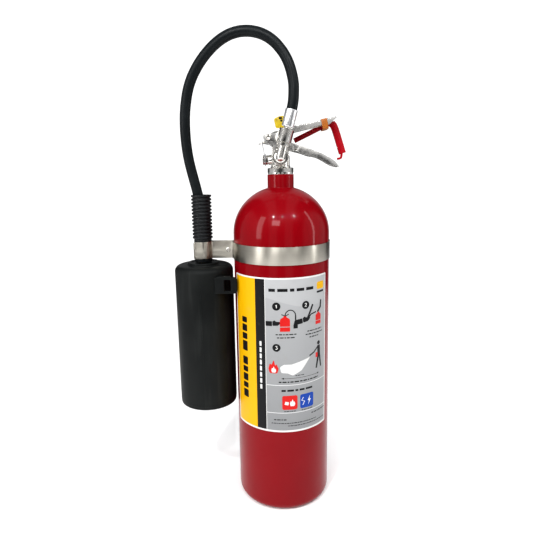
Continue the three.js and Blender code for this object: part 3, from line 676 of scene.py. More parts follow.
bar_rows = (
    (-20, 51, 370.5, 6.2), (-10, 22, 302, 2.2), (-8, 19, 297, 2.2), (40, 70, 304, 2.2),
    (37, 72, 299, 2.2), (44, 62, 294, 2.2), (20, 34, 235.5, 1.6), (-6, 62, 225.6, 2.6),
    (-2, 50, 211.5, 4.2), (2, 20, 177, 1.6), (30, 50, 177, 1.6), (-14, 6, 163, 2.2),
    (-18, 58, 157, 1.6), (8, 78, 152.5, 1.6), (48, 80, 168, 2.2),
)


def word_bars(start, end, height, size):
    """A line of small print, shown as a row of bars of uneven length."""
    bars = []
    place = start
    count = 0
    while place < end:
        width = size * (2.2, 3.4, 1.5, 2.7, 4.0)[count % 5]
        bars.append(box_of(place, min(place + width, end), height - size / 2, height + size / 2))
        place += width + size * 0.8
        count += 1
    return bars


stripe_bars = (
    (190, 13), (206, 9), (218, 12), (233, 9), (245, 13), (268, 16), (287, 10), (300, 11), (314, 9),
)
for height, length in stripe_bars:
    black_print.append(box_of(-72, -60, height, height + length, 1.5))
for start, end, height, size in bar_rows:
    black_print += word_bars(start, end, height, size * 0.72)
tile_width = 24
tile_height = 23.2


def tile(x, y):
    """A picture's square ground, with round corners."""
    half = tile_width / 2
    rise = tile_height / 2
    return box_of(x - half, x + half, y - rise, y + rise, 3)


red_print = [
    *cylinder_sign(4.3, 316, 1.15),
    *cylinder_sign(62, 319, 0.9),
    flame_sign(-14, 249, 1.5),
    seated(box_of(-2.2, 2.2, -4, 4, 1.2), 58.6, 262),
    tile(*fire_tile),
]
blue_print = [tile(*power_tile)]
yellow_print = [box_of(badge_left, badge_right, 366.5, 378, 2.4)]
white_print = [
    softened([
        (45, 262, 0.5), (30, 243, 3), (16, 236, 4), (8, 240, 4), (-2, 241, 3), (-4, 250, 3),
        (2, 254, 3), (14, 254, 3),
    ], closed=True),
    *[outline for figure, place in steps_at.items() for outline in numeral(figure, *place)],
    flame_sign(fire_tile[0] + 4, fire_tile[1] - 1, 0.8),
    seated(box_of(-3, 3, -2.6, 2.6, 0.8), fire_tile[0] - 5, fire_tile[1] - 1, 1, -14),
    stroke([(33, 198), (30, 193), (35, 191), (32, 185)], 1.2),
    seated(softened([
        (1.4, 7.6), (-3, -0.6), (-0.4, -0.6), (-2, -7.6), (3.2, 1.4), (0.4, 1.4),
    ], closed=True), power_tile[0] + 4, power_tile[1]),
    *[box_of(-36, -32.6, height, height + 7.5, 0.4) for height in range(212, 290, 10)],
    flame_sign(-13.6, 245.5, 0.7),
]
ink_root = 0.02
for title, colour, outlines, lift in (
    ("yellow_ink", yellow, yellow_print, 0.06),
    ("black_ink", (0.004, 0.004, 0.005), black_print, 0.06),
    ("red_ink", (0.5, 0.012, 0.01), red_print, 0.08),
    ("blue_ink", (0.006, 0.05, 0.3), blue_print, 0.08),
    ("white_ink", (0.62, 0.62, 0.61), white_print, 0.12),
):
    prints = together(*[
        wrapped(thick(outlined(outline), -lift - ink_root), lift) for outline in outlines
    ])
    fit(title, prints, ink(title, colour), "cylinder")

# ---- Horn band and clip ----
# One strip of bright stainless steel, drawn round the cylinder. Its two ends are brought together
# as arms, held by a rivet, and open into the jaws that the horn's grip snaps into.
band_low, band_high = extent("horn_band")
band_turn = radius + film_reach
strip = 0.96
arm_gap = 5
jaw_turn = 15
horn_x = (extent("horn")[0].x + extent("horn")[1].x) / 2
fold = 3
flare = 5
lip = 8
end_rounding = 5


def arc(x, y, size, start, end, steps):
    """Points along a round stretch, whose turns are in degrees."""
    turns = [math.radians(start + (end - start) * step / steps) for step in range(steps + 1)]
    return [(x + size * math.cos(turn), y + size * math.sin(turn)) for turn in turns]


fold_turn = math.degrees(math.asin((arm_gap + fold) / (band_turn + fold)))
fold_x = -math.sqrt((band_turn + fold) ** 2 - (arm_gap + fold) ** 2)
flare_turn = math.degrees(math.asin((arm_gap + flare) / (jaw_turn + flare)))
flare_x = horn_x + math.sqrt((jaw_turn + flare) ** 2 - (arm_gap + flare) ** 2)
front_end = [
    *arc(0, 0, band_turn, -90, -180 + fold_turn, 36),
    *arc(fold_x, -arm_gap - fold, fold, fold_turn, 90, 8)[1:],
    *arc(flare_x, -arm_gap - flare, flare, 90, 180 - flare_turn, 8),
    *arc(horn_x, 0, jaw_turn, -flare_turn, -90, 14)[1:],
    (horn_x - lip, -jaw_turn),
    *arc(horn_x - lip, -jaw_turn - lip, lip, 90, 125, 5)[1:],
]
back_end = [(x, -y) for x, y in front_end[1:]]
strip_line = front_end[::-1] + arc(0, 0, band_turn, -90, 90, 72)[1:] + back_end
band_shape = bmesh.new()
strip_points = [band_shape.verts.new((x, y, band_low.z)) for x, y in strip_line]
strip_edges = [band_shape.edges.new(pair) for pair in zip(strip_points, strip_points[1:])]
raised = bmesh.ops.extrude_edge_only(band_shape, edges=strip_edges)
bmesh.ops.translate(
    band_shape, vec=(0, 0, band_high.z - band_low.z),
    verts=[part for part in raised["geom"] if isinstance(part, bmesh.types.BMVert)],
)
bmesh.ops.recalc_face_normals(band_shape, faces=band_shape.faces)
end_corners = [vertex for vertex in band_shape.verts if len(vertex.link_faces) == 1]
bmesh.ops.bevel(
    band_shape, geom=end_corners, offset=end_rounding, segments=5, profile=0.5, affect="VERTICES",
    material=-1, clamp_overlap=False,
)

bright_strip = Finish(
    "bright_strip", "stainless_strip", (0.56, 0.53, 0.47), 0.3, Metallic=1.0, Anisotropic=0.85,
    Anisotropic_Rotation=0.25,
)
drawn_lines = bright_strip.noise(1.0, stretch=(6, 6, 2600), detail=2)
fingered = bright_strip.spread(bright_strip.noise(22, detail=5), 0.45, 0.75)
bright_strip.set("Base Color", bright_strip.blend(
    drawn_lines * 0.5 + fingered * 0.3, (0.5, 0.475, 0.42), (0.32, 0.3, 0.26),
))
bright_strip.set("Roughness", 0.32 + drawn_lines * 0.08 + fingered * 0.08)
bright_strip.bump(drawn_lines, 0.02, 0.5)


def thickened(piece, thickness, edge):
    """Gives a sheet-metal piece its thickness, half to each side, and breaks its edges."""
    sheet = piece.modifiers.new("thickness", "SOLIDIFY")
    sheet.thickness = thickness * PER_MM
    sheet.offset = 0
    sheet.use_even_offset = True
    rounding = piece.modifiers.new("broken_edges", "BEVEL")
    rounding.width = edge * PER_MM
    rounding.segments = 2
    rounding.angle_limit = math.radians(50)


horn_band = fit("horn_band_strip", band_shape, bright_strip, "cylinder", "horn_band", crease=40)
thickened(horn_band, strip, 0.22)

# The rivet is tubular: its rim is rolled outwards on both arms.
nickel = Finish("nickel_plate", "nickel_plate", (0.66, 0.645, 0.61), 0.16, Metallic=1.0)
tarnish = nickel.spread(nickel.noise(60, detail=5), 0.42, 0.72)
nickel.set("Base Color", nickel.blend(tarnish * 0.6, (0.76, 0.745, 0.71), (0.5, 0.47, 0.43)))
nickel.set("Roughness", 0.12 + tarnish * 0.16 + nickel.noise(400, detail=2) * 0.08)
nickel.bump(nickel.noise(120, detail=2), 0.03, 0.2)

ALONG_X = Matrix.Rotation(math.radians(90), 4, "Y")
ALONG_Y = Matrix.Rotation(math.radians(-90), 4, "X")


def tubular_rivet(reach, head, shank, height):
    """A rivet along Z whose two ends are rolled into round rims with a dimple in the middle."""
    rim = softened([
        (0, reach - height * 0.9), (head * 0.45, reach - height * 0.75, 0.3),
        (head * 0.62, reach, 0.5), (head, reach - height * 0.5, 0.5),
        (head - 0.2, reach - height, 0.2),
        (shank, reach - height), (shank, 0),
    ])
    other_rim = [(size, -height_at) for size, height_at in reversed(rim)]
    return spun([*rim, *other_rim[1:]], steps=40, closed=False)


clip_low, clip_high = extent("clip_rivet")
clip_centre = (clip_low + clip_high) / 2
rivet_reach = (clip_high.y - clip_low.y) / 2
rivet_head = 3.4
rivet_shank = 2.5
rivet_rim = 1.4
arm_rivet = tubular_rivet(rivet_reach, rivet_head, rivet_shank, rivet_rim)
fit(
    "arm_rivet", moved(arm_rivet, Matrix.Translation(clip_centre), ALONG_Y), nickel, "cylinder",
    "clip_rivet",
)

# ---- Horn and strap loop ----
# A bell of black moulded plastic, open below, with a raised boss on top where the pipe comes
# through. A flat loop for a strap is moulded on its front-right side. The moulding is left matte.
horn_low, horn_high = extent("horn")
horn_size = (horn_high.x - horn_low.x) / 2
boss_height = 4
horn_top = horn_high.z - boss_height
boss_size = 25.5
horn_wall = 3
pipe_fit = 7.3
horn_shoulder = 20
at_horn = Matrix.Translation((horn_x, 0, 0))

black_moulding = Finish(
    "black_moulding", "black_moulding", (0.007, 0.008, 0.008), 0.5, Specular_IOR_Level=0.16,
)
scuff_lines = black_moulding.spread(
    black_moulding.noise(1.0, stretch=(90, 90, 9), detail=6), 0.56, 0.78,
)
dusting = black_moulding.spread(black_moulding.noise(14, detail=6), 0.45, 0.8)
black_moulding.set("Base Color", black_moulding.blend(
    scuff_lines * 0.4 + dusting * 0.3, (0.005, 0.006, 0.006), (0.024, 0.026, 0.025),
))
black_moulding.set("Roughness", 0.46 + dusting * 0.16 - scuff_lines * 0.1)
black_moulding.bump(
    black_moulding.noise(900, detail=2) * 0.5 + black_moulding.noise(40, detail=2), 0.12, 0.35,
)

bell = spun(softened([
    (horn_size - horn_wall, horn_low.z, 1), (horn_size - 0.4, horn_low.z, 1.2),
    (horn_size - 0.4, horn_low.z + 5, 0.4), (horn_size, horn_low.z + 5.6, 0.4),
    (horn_size, horn_top, horn_shoulder), (boss_size + 1.5, horn_top, 0.8),
    (boss_size + 1, horn_top + 1, 0.4), (boss_size, horn_top + 1.2, 0.4),
    (boss_size, horn_high.z, 1.1),
    (boss_size - 5, horn_high.z, 0.6), (boss_size - 6.5, horn_high.z - 1, 0.6),
    (pipe_fit + 2, horn_high.z - 1), (pipe_fit, horn_high.z - 1),
    (pipe_fit, horn_top - horn_wall - 1), (horn_size - horn_wall, horn_top - horn_wall - 1, 17),
], closed=True, steps=7), steps=96)
# The two halves of the mould leave a fine raised line down the front and the back.
seam_low = horn_low.z + 4
seam_high = horn_top - horn_shoulder - 4
seam_width = 0.7
seam_depth = 0.5
seam_lines = []
for side in (-1, 1):
    seam_line = bmesh.new()
    bmesh.ops.create_cube(seam_line, size=1)
    seam_lines.append(moved(
        seam_line, Matrix.Translation((0, side * horn_size, (seam_low + seam_high) / 2)),
        Matrix.Diagonal((seam_width, seam_depth, seam_high - seam_low, 1)),
    ))
fit("discharge_horn", moved(together(bell, *seam_lines), at_horn), black_moulding, "horn", "horn")

IN_XZ = Matrix.Rotation(math.radians(90), 4, "X")


def broken(shape, edges, size, segments=2):
    """Breaks some of a shape's edges, as a file or a mould does."""
    bmesh.ops.bevel(
        shape, geom=edges, offset=size, segments=segments, profile=0.5, affect="EDGES",
        material=-1, clamp_overlap=True,
    )
    return shape


def plate(outline, depth, edge=0.3, holes=(), segments=2):
    """A flat plate with an outline in X and Y, from 0 up to its depth, its edges broken."""
    shape = thick(outlined(outline, *holes), depth)
    if edge:
        rims = [line for line in shape.edges if line.calc_face_angle(0) > math.radians(75)]
        rims = [line for line in rims if abs(line.verts[0].co.z - line.verts[1].co.z) < 1e-6]
        broken(shape, rims, edge, segments)
    return shape


def upright(shape, back):
    """A plate turned up into X and Z, its back at one Y."""
    return moved(shape, Matrix.Translation((0, back, 0)), IN_XZ)


def block(x0, x1, y0, y1, z0, z1, edge=0.4, segments=2):
    """A rectangular block with broken edges."""
    shape = bmesh.new()
    bmesh.ops.create_cube(shape, size=1)
    centre = ((x0 + x1) / 2, (y0 + y1) / 2, (z0 + z1) / 2)
    size = (x1 - x0, y1 - y0, z1 - z0, 1)
    moved(shape, Matrix.Translation(centre), Matrix.Diagonal(size))
    return broken(shape, shape.edges[:], edge, segments)


loop_low, loop_high = extent("horn_strap_loop")
loop_post = 10
loop_bar = 4
window_right = loop_high.x - loop_post
loop_root = horn_x + 22
loop_outline = softened([
    (loop_root, loop_low.z), (loop_high.x, loop_low.z, 6), (loop_high.x, loop_high.z, 6),
    (loop_root, loop_high.z),
], closed=True, steps=6)
window_left = window_right - 10
loop_window = box_of(
    window_left, window_right, loop_low.z + loop_bar, loop_high.z - loop_bar, 1.5,
)
loop = upright(
    plate(loop_outline, loop_high.y - loop_low.y, 0.9, [loop_window], 3), loop_high.y,
)
ledge = block(
    loop_root + 4, loop_high.x - 9, loop_low.y - 0.1, loop_high.y + 2, loop_high.z - 0.5,
    loop_high.z + 1.6, 0.7,
)
fit("strap_loop", together(loop, ledge), black_moulding, "horn", "horn_strap_loop")

# ---- Grip ----
# A black rubber grip on the horn's pipe: a plain neck that the clip holds, and above it a sleeve
# with moulded rings all the way up, whose hollow top takes the hose.
grip_low, grip_high = extent("horn_grip")
sleeve_size = (grip_high.x - grip_low.x) / 2
grip_neck = 14
sleeve_foot = band_high.z + 2.5
cup_floor = sleeve_foot + 16
cup_size = sleeve_size - 2.5
ring_count = 13
groove = 2.1
ring_pitch = (grip_high.z - sleeve_foot) / ring_count
ring_lines = []
for count in range(ring_count):
    foot = sleeve_foot + count * ring_pitch
    ring_lines += [
        (sleeve_size - groove, foot + 0.3, 0.5), (sleeve_size - groove, foot + 1.9, 0.5),
        (sleeve_size, foot + 2.5, 1.1), (sleeve_size, foot + ring_pitch - 0.3, 1.1),
    ]
grip_rubber = rubber("grip_rubber", "grip_rubber", (0.006, 0.007, 0.008), 0.36, 0.04, 0.35)
fit("grip", moved(spun(softened([
    (pipe_fit, grip_low.z), (grip_neck, grip_low.z, 0.8), (grip_neck, sleeve_foot - 1, 0.6),
    *ring_lines, (sleeve_size - 0.5, grip_high.z, 0.8), (cup_size, grip_high.z, 0.7),
    (cup_size, cup_floor), (pipe_fit, cup_floor),
], closed=True, steps=3), steps=56), at_horn), grip_rubber, "horn", "horn_grip")

# ---- Pipe, nut and nozzle inside the horn ----
# A brass pipe runs from the hose down through the grip and the horn's boss. A plated nut holds
# the horn on it, and a brass nozzle with one small hole is screwed on its lower end.
brass = Finish("brass", "brass", (0.58, 0.4, 0.16), 0.3, Metallic=1.0)
brass_tarnish = brass.spread(brass.noise(70, detail=5), 0.4, 0.7)
brass.set("Base Color", brass.blend(brass_tarnish * 0.8, (0.62, 0.43, 0.17), (0.26, 0.16, 0.06)))
brass.set("Roughness", 0.24 + brass_tarnish * 0.22)
brass.bump(brass.noise(1.0, stretch=(30, 30, 3000), detail=1), 0.02, 0.4)


def hexagon(across, low, high, chamfer=1.0):
    """A hexagon bar along Z whose corners are turned off at both ends."""
    corner = across / math.sqrt(3)
    rim = corner - chamfer
    drop = chamfer * 0.5
    shape = spun(
        [(0, low), (rim, low), (corner, low + drop), (corner, high - drop), (rim, high), (0, high)],
        steps=6,
    )
    edges = [
        line for line in shape.edges if abs(line.verts[0].co.z - line.verts[1].co.z) > chamfer * 0.9
    ]
    return broken(shape, edges, 0.35)


nozzle_low, nozzle_high = extent("discharge_nozzle")
nozzle_size = (nozzle_high.x - nozzle_low.x) / 2
nozzle_hole = 2
nozzle_bore = 7.2
fit("nozzle", moved(spun(softened([
    (nozzle_hole, nozzle_low.z + 1), (4, nozzle_low.z, 0.4), (nozzle_size - 2, nozzle_low.z, 0.5),
    (nozzle_size - 0.2, nozzle_low.z + 3, 0.8), (nozzle_size, nozzle_low.z + 7, 0.4),
    (nozzle_size - 0.8, nozzle_low.z + 8, 0.3), (nozzle_size - 0.8, nozzle_low.z + 9.4, 0.3),
    (nozzle_size, nozzle_low.z + 10.4, 0.3), (nozzle_size, nozzle_high.z, 0.6),
    (nozzle_bore, nozzle_high.z), (nozzle_bore, nozzle_low.z + 11),
    (nozzle_hole, nozzle_low.z + 9),
], closed=True, steps=3), steps=40), at_horn), brass, "horn", "discharge_nozzle")
nut_low, nut_high = extent("horn_lock_nut")
lock_nut_across = 24
fit(
    "lock_nut", moved(hexagon(lock_nut_across, nut_low.z, nut_high.z, 1.4), at_horn), nickel,
    "horn", "horn_lock_nut",
)
for node, metal in (("horn_pipe", brass), ("pipe_ferrule", nickel)):
    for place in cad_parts[node].material_slots:
        place.material = metal.material

# ---- Valve body ----
# Forged brass, machined and nickel plated: a hexagon flange on the cylinder's neck, a round body
# with cast ribs, the outlet's boss in front, the relief boss on the left and a block for the grips.
on_neck = Matrix.Translation((0, 0, neck_top))
flange_across = 35
flange_low = 2.1
flange_high = 10.1
body_size = 16
body_top = 30
block_reach = 13
block_half = 11
block_top = 59
outlet_height = 26
outlet_size = 12.5
outlet_reach = 23
relief_height = 22
pivot = Vector((-18, 0, 55.7))
AT_OUTLET = Matrix.Translation((0, 0, outlet_height))
AT_RELIEF = Matrix.Translation((0, 0, relief_height))

body = spun(softened([
    (0, flange_high - 1), (body_size - 0.6, flange_high - 1),
    (body_size - 0.6, flange_high + 1.5, 0.8), (body_size - 1.6, flange_high + 3.5, 0.8),
    (body_size - 1.6, body_top - 3, 2),
    (body_size - 4, body_top + 3, 2), (0, body_top + 3),
]), steps=56)
ribs = []
rib_turns = (-52, -28, 28, 52, 128, 152, 208, 232)
rib_half = 1.1
for turn in rib_turns:
    rib = block(
        -rib_half, rib_half, -body_size, -body_size + 3, flange_high - 0.5, body_top + 2, 0.5,
    )
    ribs.append(moved(rib, Matrix.Rotation(math.radians(turn), 4, "Z")))
head = block(
    -block_reach, block_reach, -block_half, block_half, body_top - 4, block_top, 1.1, 3,
)
lug = upright(plate(softened([
    (-block_reach + 2, body_top + 10), (-block_reach + 2, block_top),
    (pivot.x - 6, block_top, 5.5), (pivot.x - 6, pivot.z - 6, 2), (pivot.x + 4, pivot.z - 12.7, 2),
], closed=True, steps=6), 2 * block_half, 0.6), block_half)
outlet = moved(spun(softened([
    (0, -outlet_reach + 4), (outlet_size - 2.7, -outlet_reach + 4),
    (outlet_size - 2.7, -outlet_reach, 0.5),
    (outlet_size, -outlet_reach, 0.8), (outlet_size, -outlet_reach + 6, 0.6),
    (outlet_size - 1, -outlet_reach + 7.5, 0.6), (outlet_size - 0.6, -8), (0, -8),
]), steps=48), AT_OUTLET, ALONG_Y)
relief_bore = 4.3
relief_mouth = -19
relief_boss = moved(spun(softened([
    (relief_bore, relief_mouth, 0.3), (7.5, relief_mouth, 0.8), (7.5, -14, 1), (8.6, -10),
    (relief_bore, -10),
], closed=True), steps=36), AT_RELIEF, ALONG_X)
spigot_bore = 6
spigot_size = 12.5
spigot_low = -26
spigot = spun(softened([
    (spigot_bore, spigot_low, 0.4), (spigot_size, spigot_low, 1), (spigot_size, flange_low + 1),
    (spigot_bore, flange_low + 1),
], closed=True), steps=40)
skirt_inner = 18.8
skirt_outer = 19.7
skirt_low = 0.4
skirt = spun(softened([
    (skirt_inner, skirt_low, 0.2), (skirt_outer, skirt_low, 0.3), (skirt_outer, flange_low + 1),
    (skirt_inner, flange_low + 1),
], closed=True), steps=56)
fit("valve", moved(together(
    spigot, skirt, hexagon(flange_across, flange_low, flange_high, 1.8), body, *ribs, head, lug,
    outlet, relief_boss,
), on_neck), nickel, "cylinder", "valve_body")

# ---- Elbow, swivel nut and ferrule ----
# A plated elbow is sealed in the outlet and leans up to the right. A hexagon nut swivels on it,
# and an aluminium ferrule is crimped over the hose and its barbed tail.
lean = math.radians(14.5)
elbow_corner = Vector((0, -30.5, outlet_height))
leaning = on_neck @ Matrix.Translation(elbow_corner) @ Matrix.Rotation(lean, 4, "Y")
elbow_size = 7
elbow_face = -20.6
collar_low = 15.5
collar_across = 17
nut_across = 19
nut_from = 21
nut_to = 41
elbow_end = 32.9
ferrule_from = 43.5
ferrule_to = 69
ferrule_size = 9.2
ferrule_bore = 4.8
ferrule_mouth = 8.2
corner_ball = bmesh.new()
bmesh.ops.create_uvsphere(corner_ball, u_segments=32, v_segments=16, radius=elbow_size)
fit("elbow", together(
    moved(corner_ball, on_neck @ Matrix.Translation(elbow_corner)),
    moved(spun(softened([
        (0, elbow_corner.y), (elbow_size, elbow_corner.y), (elbow_size, elbow_face - 2.4, 0.4),
        (outlet_size - 3.5, elbow_face - 1.6, 0.3), (outlet_size - 3.5, elbow_face),
        (0, elbow_face),
    ]), steps=40), on_neck @ AT_OUTLET @ ALONG_Y),
    moved(spun(softened([
        (0, 0), (elbow_size, 0), (elbow_size, elbow_end, 0.4), (0, elbow_end),
    ]), steps=40), leaning),
    moved(hexagon(collar_across, collar_low, nut_from - 0.4, 0.8), leaning),
), nickel, "cylinder", "outlet_elbow")
fit("hose_nut", together(
    moved(hexagon(nut_across, nut_from, nut_to, 1.1), leaning),
    moved(spun(softened([
        (0, nut_to - 1), (7.4, nut_to - 1), (7.4, nut_to, 0.3), (5, nut_to), (0, nut_to),
    ]), steps=36), leaning),
), nickel, "cylinder", "swivel_nut")
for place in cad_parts["hose_tail"].material_slots:
    place.material = nickel.material

aluminium = Finish("aluminium", "aluminium", (0.85, 0.86, 0.87), 0.34, Metallic=1.0)
rubbed = aluminium.spread(aluminium.noise(80, detail=5), 0.45, 0.75)
aluminium.set("Base Color", aluminium.blend(rubbed * 0.6, (0.9, 0.91, 0.92), (0.66, 0.66, 0.66)))
aluminium.set("Roughness", 0.28 + rubbed * 0.16)
aluminium.bump(aluminium.noise(1.0, stretch=(500, 500, 30), detail=2), 0.02, 0.2)
fit("ferrule", moved(spun(softened([
    (ferrule_bore, ferrule_from), (ferrule_size - 1.4, ferrule_from, 0.5),
    (ferrule_size, ferrule_from + 1.4, 0.5), (ferrule_size, ferrule_to, 0.35),
    (ferrule_mouth, ferrule_to, 0.2), (ferrule_mouth, ferrule_from + 3),
    (ferrule_bore, ferrule_from + 3),
], closed=True, steps=3), steps=56), leaning), aluminium, "cylinder", "hose_ferrule")

# ---- Relief plug and lanyard ----
# A brass hexagon plug holds the bursting disc in its boss. A thin steel wire is looped round it
# and hangs from a small link in the carry handle's ear.
plug_across = 13
plug_face = -27.3
plug_bore = 2.2
fit("relief", together(
    moved(hexagon(plug_across, plug_face, relief_mouth - 0.3, 1.0), on_neck @ AT_RELIEF @ ALONG_X),
    moved(spun(softened([
        (plug_bore, plug_face - 0.1), (4.2, plug_face - 0.1, 0.2), (4.6, plug_face + 0.5),
        (plug_bore, plug_face + 0.5),
    ], closed=True), steps=32), on_neck @ AT_RELIEF @ ALONG_X),
    moved(spun([(0, -21), (4, -21), (4, -10), (0, -10)], steps=24), on_neck @ AT_RELIEF @ ALONG_X),
), nickel, "cylinder", "relief_plug")


def hoop(size, wire, steps=40):
    """A ring of round wire, lying flat."""
    shape = bmesh.new()
    made = bmesh.ops.create_circle(shape, segments=14, radius=wire)
    moved(shape, Matrix.Translation((size, 0, 0)) @ IN_XZ)
    bmesh.ops.spin(
        shape, geom=made["verts"] + shape.edges[:], axis=(0, 0, 1), cent=(0, 0, 0), steps=steps,
        angle=2 * math.pi, use_merge=True,
    )
    bmesh.ops.remove_doubles(shape, verts=shape.verts, dist=1e-4)
    bmesh.ops.recalc_face_normals(shape, faces=shape.faces)
    return shape


def rod(start, end, size, steps=20):
    """A straight round rod between two points, its ends rounded."""
    run = Vector(end) - Vector(start)
    shape = spun(softened([
        (0, 0), (size, 0, size * 0.4), (size, run.length, size * 0.4), (0, run.length),
    ]), steps=steps)
    return moved(shape, Matrix.Translation(start), run.to_track_quat("Z", "Y").to_matrix().to_4x4())


spring_steel = Finish("spring_steel", "spring_steel", (0.46, 0.46, 0.47), 0.26, Metallic=1.0)
oiled = spring_steel.spread(spring_steel.noise(90, detail=4), 0.4, 0.7)
spring_steel.set("Base Color", spring_steel.blend(
    oiled * 0.7, (0.52, 0.52, 0.53), (0.3, 0.29, 0.28),
))
spring_steel.set("Roughness", 0.2 + oiled * 0.2)

link_low, link_high = extent("lanyard_link")
link_centre = (link_low + link_high) / 2
link_size = 4.5
link_wire = (link_high.y - link_low.y) / 2 - link_size
fit("link", moved(
    hoop(link_size, link_wire), Matrix.Translation(link_centre),
    Matrix.Rotation(math.radians(-20), 4, "Y"),
), nickel, "cylinder", "lanyard_link")
wire = 0.55
wire_loop = 8.8
wire_x = -23.3
eye_size = 2.2
eye_centre = Vector((link_centre.x + 1.2, link_centre.y - link_size * 0.94, link_centre.z + 0.5))
round_plug = on_neck @ AT_RELIEF @ Matrix.Translation((wire_x, 0, 0)) @ ALONG_X
fit("wire", together(
    moved(hoop(wire_loop, wire), round_plug),
    rod(
        (wire_x, -wire_loop, neck_top + relief_height), eye_centre - Vector((0, 0, eye_size)), wire,
    ),
    rod(
        (wire_x, -wire_loop, neck_top + relief_height),
        (wire_x + 1.2, -wire_loop + 0.4, neck_top + relief_height + 8), wire * 1.7,
    ),
    moved(hoop(eye_size, wire), Matrix.Translation(eye_centre) @ ALONG_X),
), spring_steel, "cylinder", "lanyard_wire")

# ---- Carry handle ----
# Pressed from one steel sheet and plated: a channel, open above, whose lower edge waves for the
# fingers. Its two ears reach round the valve's block, held there by a roll pin and the pivot.
sheet = 1.2
handle_outer = block_half + 0.3 + sheet
lever_outer = handle_outer + 0.4 + sheet
underside = [
    Vector(point) for point in (
        (-26.6, 46.8), (-14.9, 44.8), (-3, 40.4), (14.7, 35.2), (30, 31), (43, 26.6), (54, 24.4),
        (65, 19), (77.1, 12), (87.5, 9.2),
    )
]
topside = [
    (89.2, 10.6, 0.6), (83.5, 18), (75.4, 23.9), (60.2, 31.8), (45.1, 37.4), (29.9, 42.6),
    (17.8, 46.6, 3), (14.6, 50, 3), (14, block_top + 0.6, 2), (pivot.x - 6.6, block_top + 0.6, 6),
    (-24.4, 51.4, 2), (-27.2, 49.6, 1.2), (-27.4, 47.2, 0.8),
]
pin_x = 7
pin_height = 54.5
roll_pin_at = (5, 43)
roll_pin_size = 2
roll_pin_bore = 1
roll_pin_reach = handle_outer + 0.1
slit = box_of(20.6, 25.4, 35.7, 38, 0.7)


def smooth_line(points, steps=4):
    """A smooth line through its points."""
    line = []
    for i, (here, on) in enumerate(zip(points, points[1:])):
        before = points[max(i - 1, 0)]
        after = points[min(i + 2, len(points) - 1)]
        for step in range(steps):
            t = step / steps
            line.append(0.5 * (
                2 * here + (on - before) * t + (2 * before - 5 * here + 4 * on - after) * t * t
                + (3 * here - before - 3 * on + after) * t * t * t
            ))
    return line + [points[-1]]


plated_sheet = Finish("plated_sheet", "handle_sheet", (0.62, 0.61, 0.58), 0.24, Metallic=1.0)
rolling = plated_sheet.noise(1.0, stretch=(25, 900, 900), detail=2)
handling = plated_sheet.spread(plated_sheet.noise(55, detail=5), 0.42, 0.72)
plated_sheet.set("Base Color", plated_sheet.blend(
    handling * 0.6 + rolling * 0.2, (0.9, 0.89, 0.86), (0.66, 0.64, 0.6),
))
plated_sheet.set("Roughness", 0.18 + handling * 0.18 + rolling * 0.08)
plated_sheet.bump(rolling + plated_sheet.noise(160, detail=2), 0.03, 0.35)

handle_line = smooth_line(underside)
ear_outline = handle_line + softened(topside, closed=False, steps=5)
web_line = [point for point in handle_line if point.x > body_size + 1]
web_outline = web_line + [point + Vector((0, sheet)) for point in reversed(web_line)]
fit("handle", moved(together(
    upright(plate(ear_outline, sheet, 0.3, [slit]), -handle_outer + sheet),
    upright(plate(ear_outline, sheet, 0.3), handle_outer),
    upright(plate(web_outline, 2 * handle_outer - 0.3, 0.35), handle_outer - 0.15),
), on_neck), plated_sheet, "cylinder", "carry_handle")
at_roll_pin = on_neck @ Matrix.Translation((roll_pin_at[0], 0, roll_pin_at[1]))
fit("roll_pin", moved(spun(softened([
    (roll_pin_bore, -roll_pin_reach), (roll_pin_size, -roll_pin_reach, 0.4),
    (roll_pin_size, roll_pin_reach, 0.4), (roll_pin_bore, roll_pin_reach),
], closed=True), steps=28), at_roll_pin, ALONG_Y), spring_steel, "cylinder", "handle_roll_pin")
pivot_low, pivot_high = extent("pivot_rivet")
pivot_head = 4.7
pivot_shank = 3
pivot_rim = 2.4
fit("pivot_pin", moved(
    tubular_rivet((pivot_high.y - pivot_low.y) / 2, pivot_head, pivot_shank, pivot_rim),
    on_neck @ Matrix.Translation(pivot), ALONG_Y,
), nickel, "cylinder", "pivot_rivet")

# ---- Squeeze lever ----
# A second pressed channel, open below, that straddles the handle's ears. Its folds are round, and
# it tapers from the deep cheeks at the pivot to a shallow grip. It presses the valve's stem.
slope = math.radians(11.2)
at_pivot = on_neck @ Matrix.Translation(pivot) @ Matrix.Rotation(-slope, 4, "Y")
lever_depth = 7.7
lever_length = 106.3
into_lever = Matrix.Rotation(-slope, 2)
cheek = arc(0, 0, lever_depth, 112, 230, 12) + softened([
    (20.7, -10, 3), (27.5, -9.8, 4), (40, -0.7, 6), (96, 0.2, 4), (lever_length - 1, 5.6, 0.8),
    (lever_length - 0.6, lever_depth - 1, 0.3),
]) + [(-2, lever_depth - 0.9)]
lock_travel = 5.3
slot_size = 2.5
lock_low = into_lever @ Vector((pin_x - pivot.x, pin_height - pivot.z))
lock_high = into_lever @ Vector((pin_x - pivot.x, pin_height - pivot.z + lock_travel))
slot_turn = math.degrees(math.atan2(*(lock_high - lock_low).yx))
lock_slot = (
    arc(*lock_low, slot_size, slot_turn + 90, slot_turn + 270, 8)
    + arc(*lock_high, slot_size, slot_turn - 90, slot_turn + 90, 8)
)
top_web = block(
    -4, lever_length - 0.4, -lever_outer, lever_outer, lever_depth - sheet - 0.6, lever_depth,
    0.9, 3,
)
fit("lever", moved(together(
    upright(plate(cheek, sheet, 0.3, [lock_slot]), -lever_outer + sheet),
    upright(plate(cheek, sheet, 0.3, [lock_slot]), lever_outer),
    top_web,
), at_pivot), plated_sheet, "lever", "squeeze_lever")

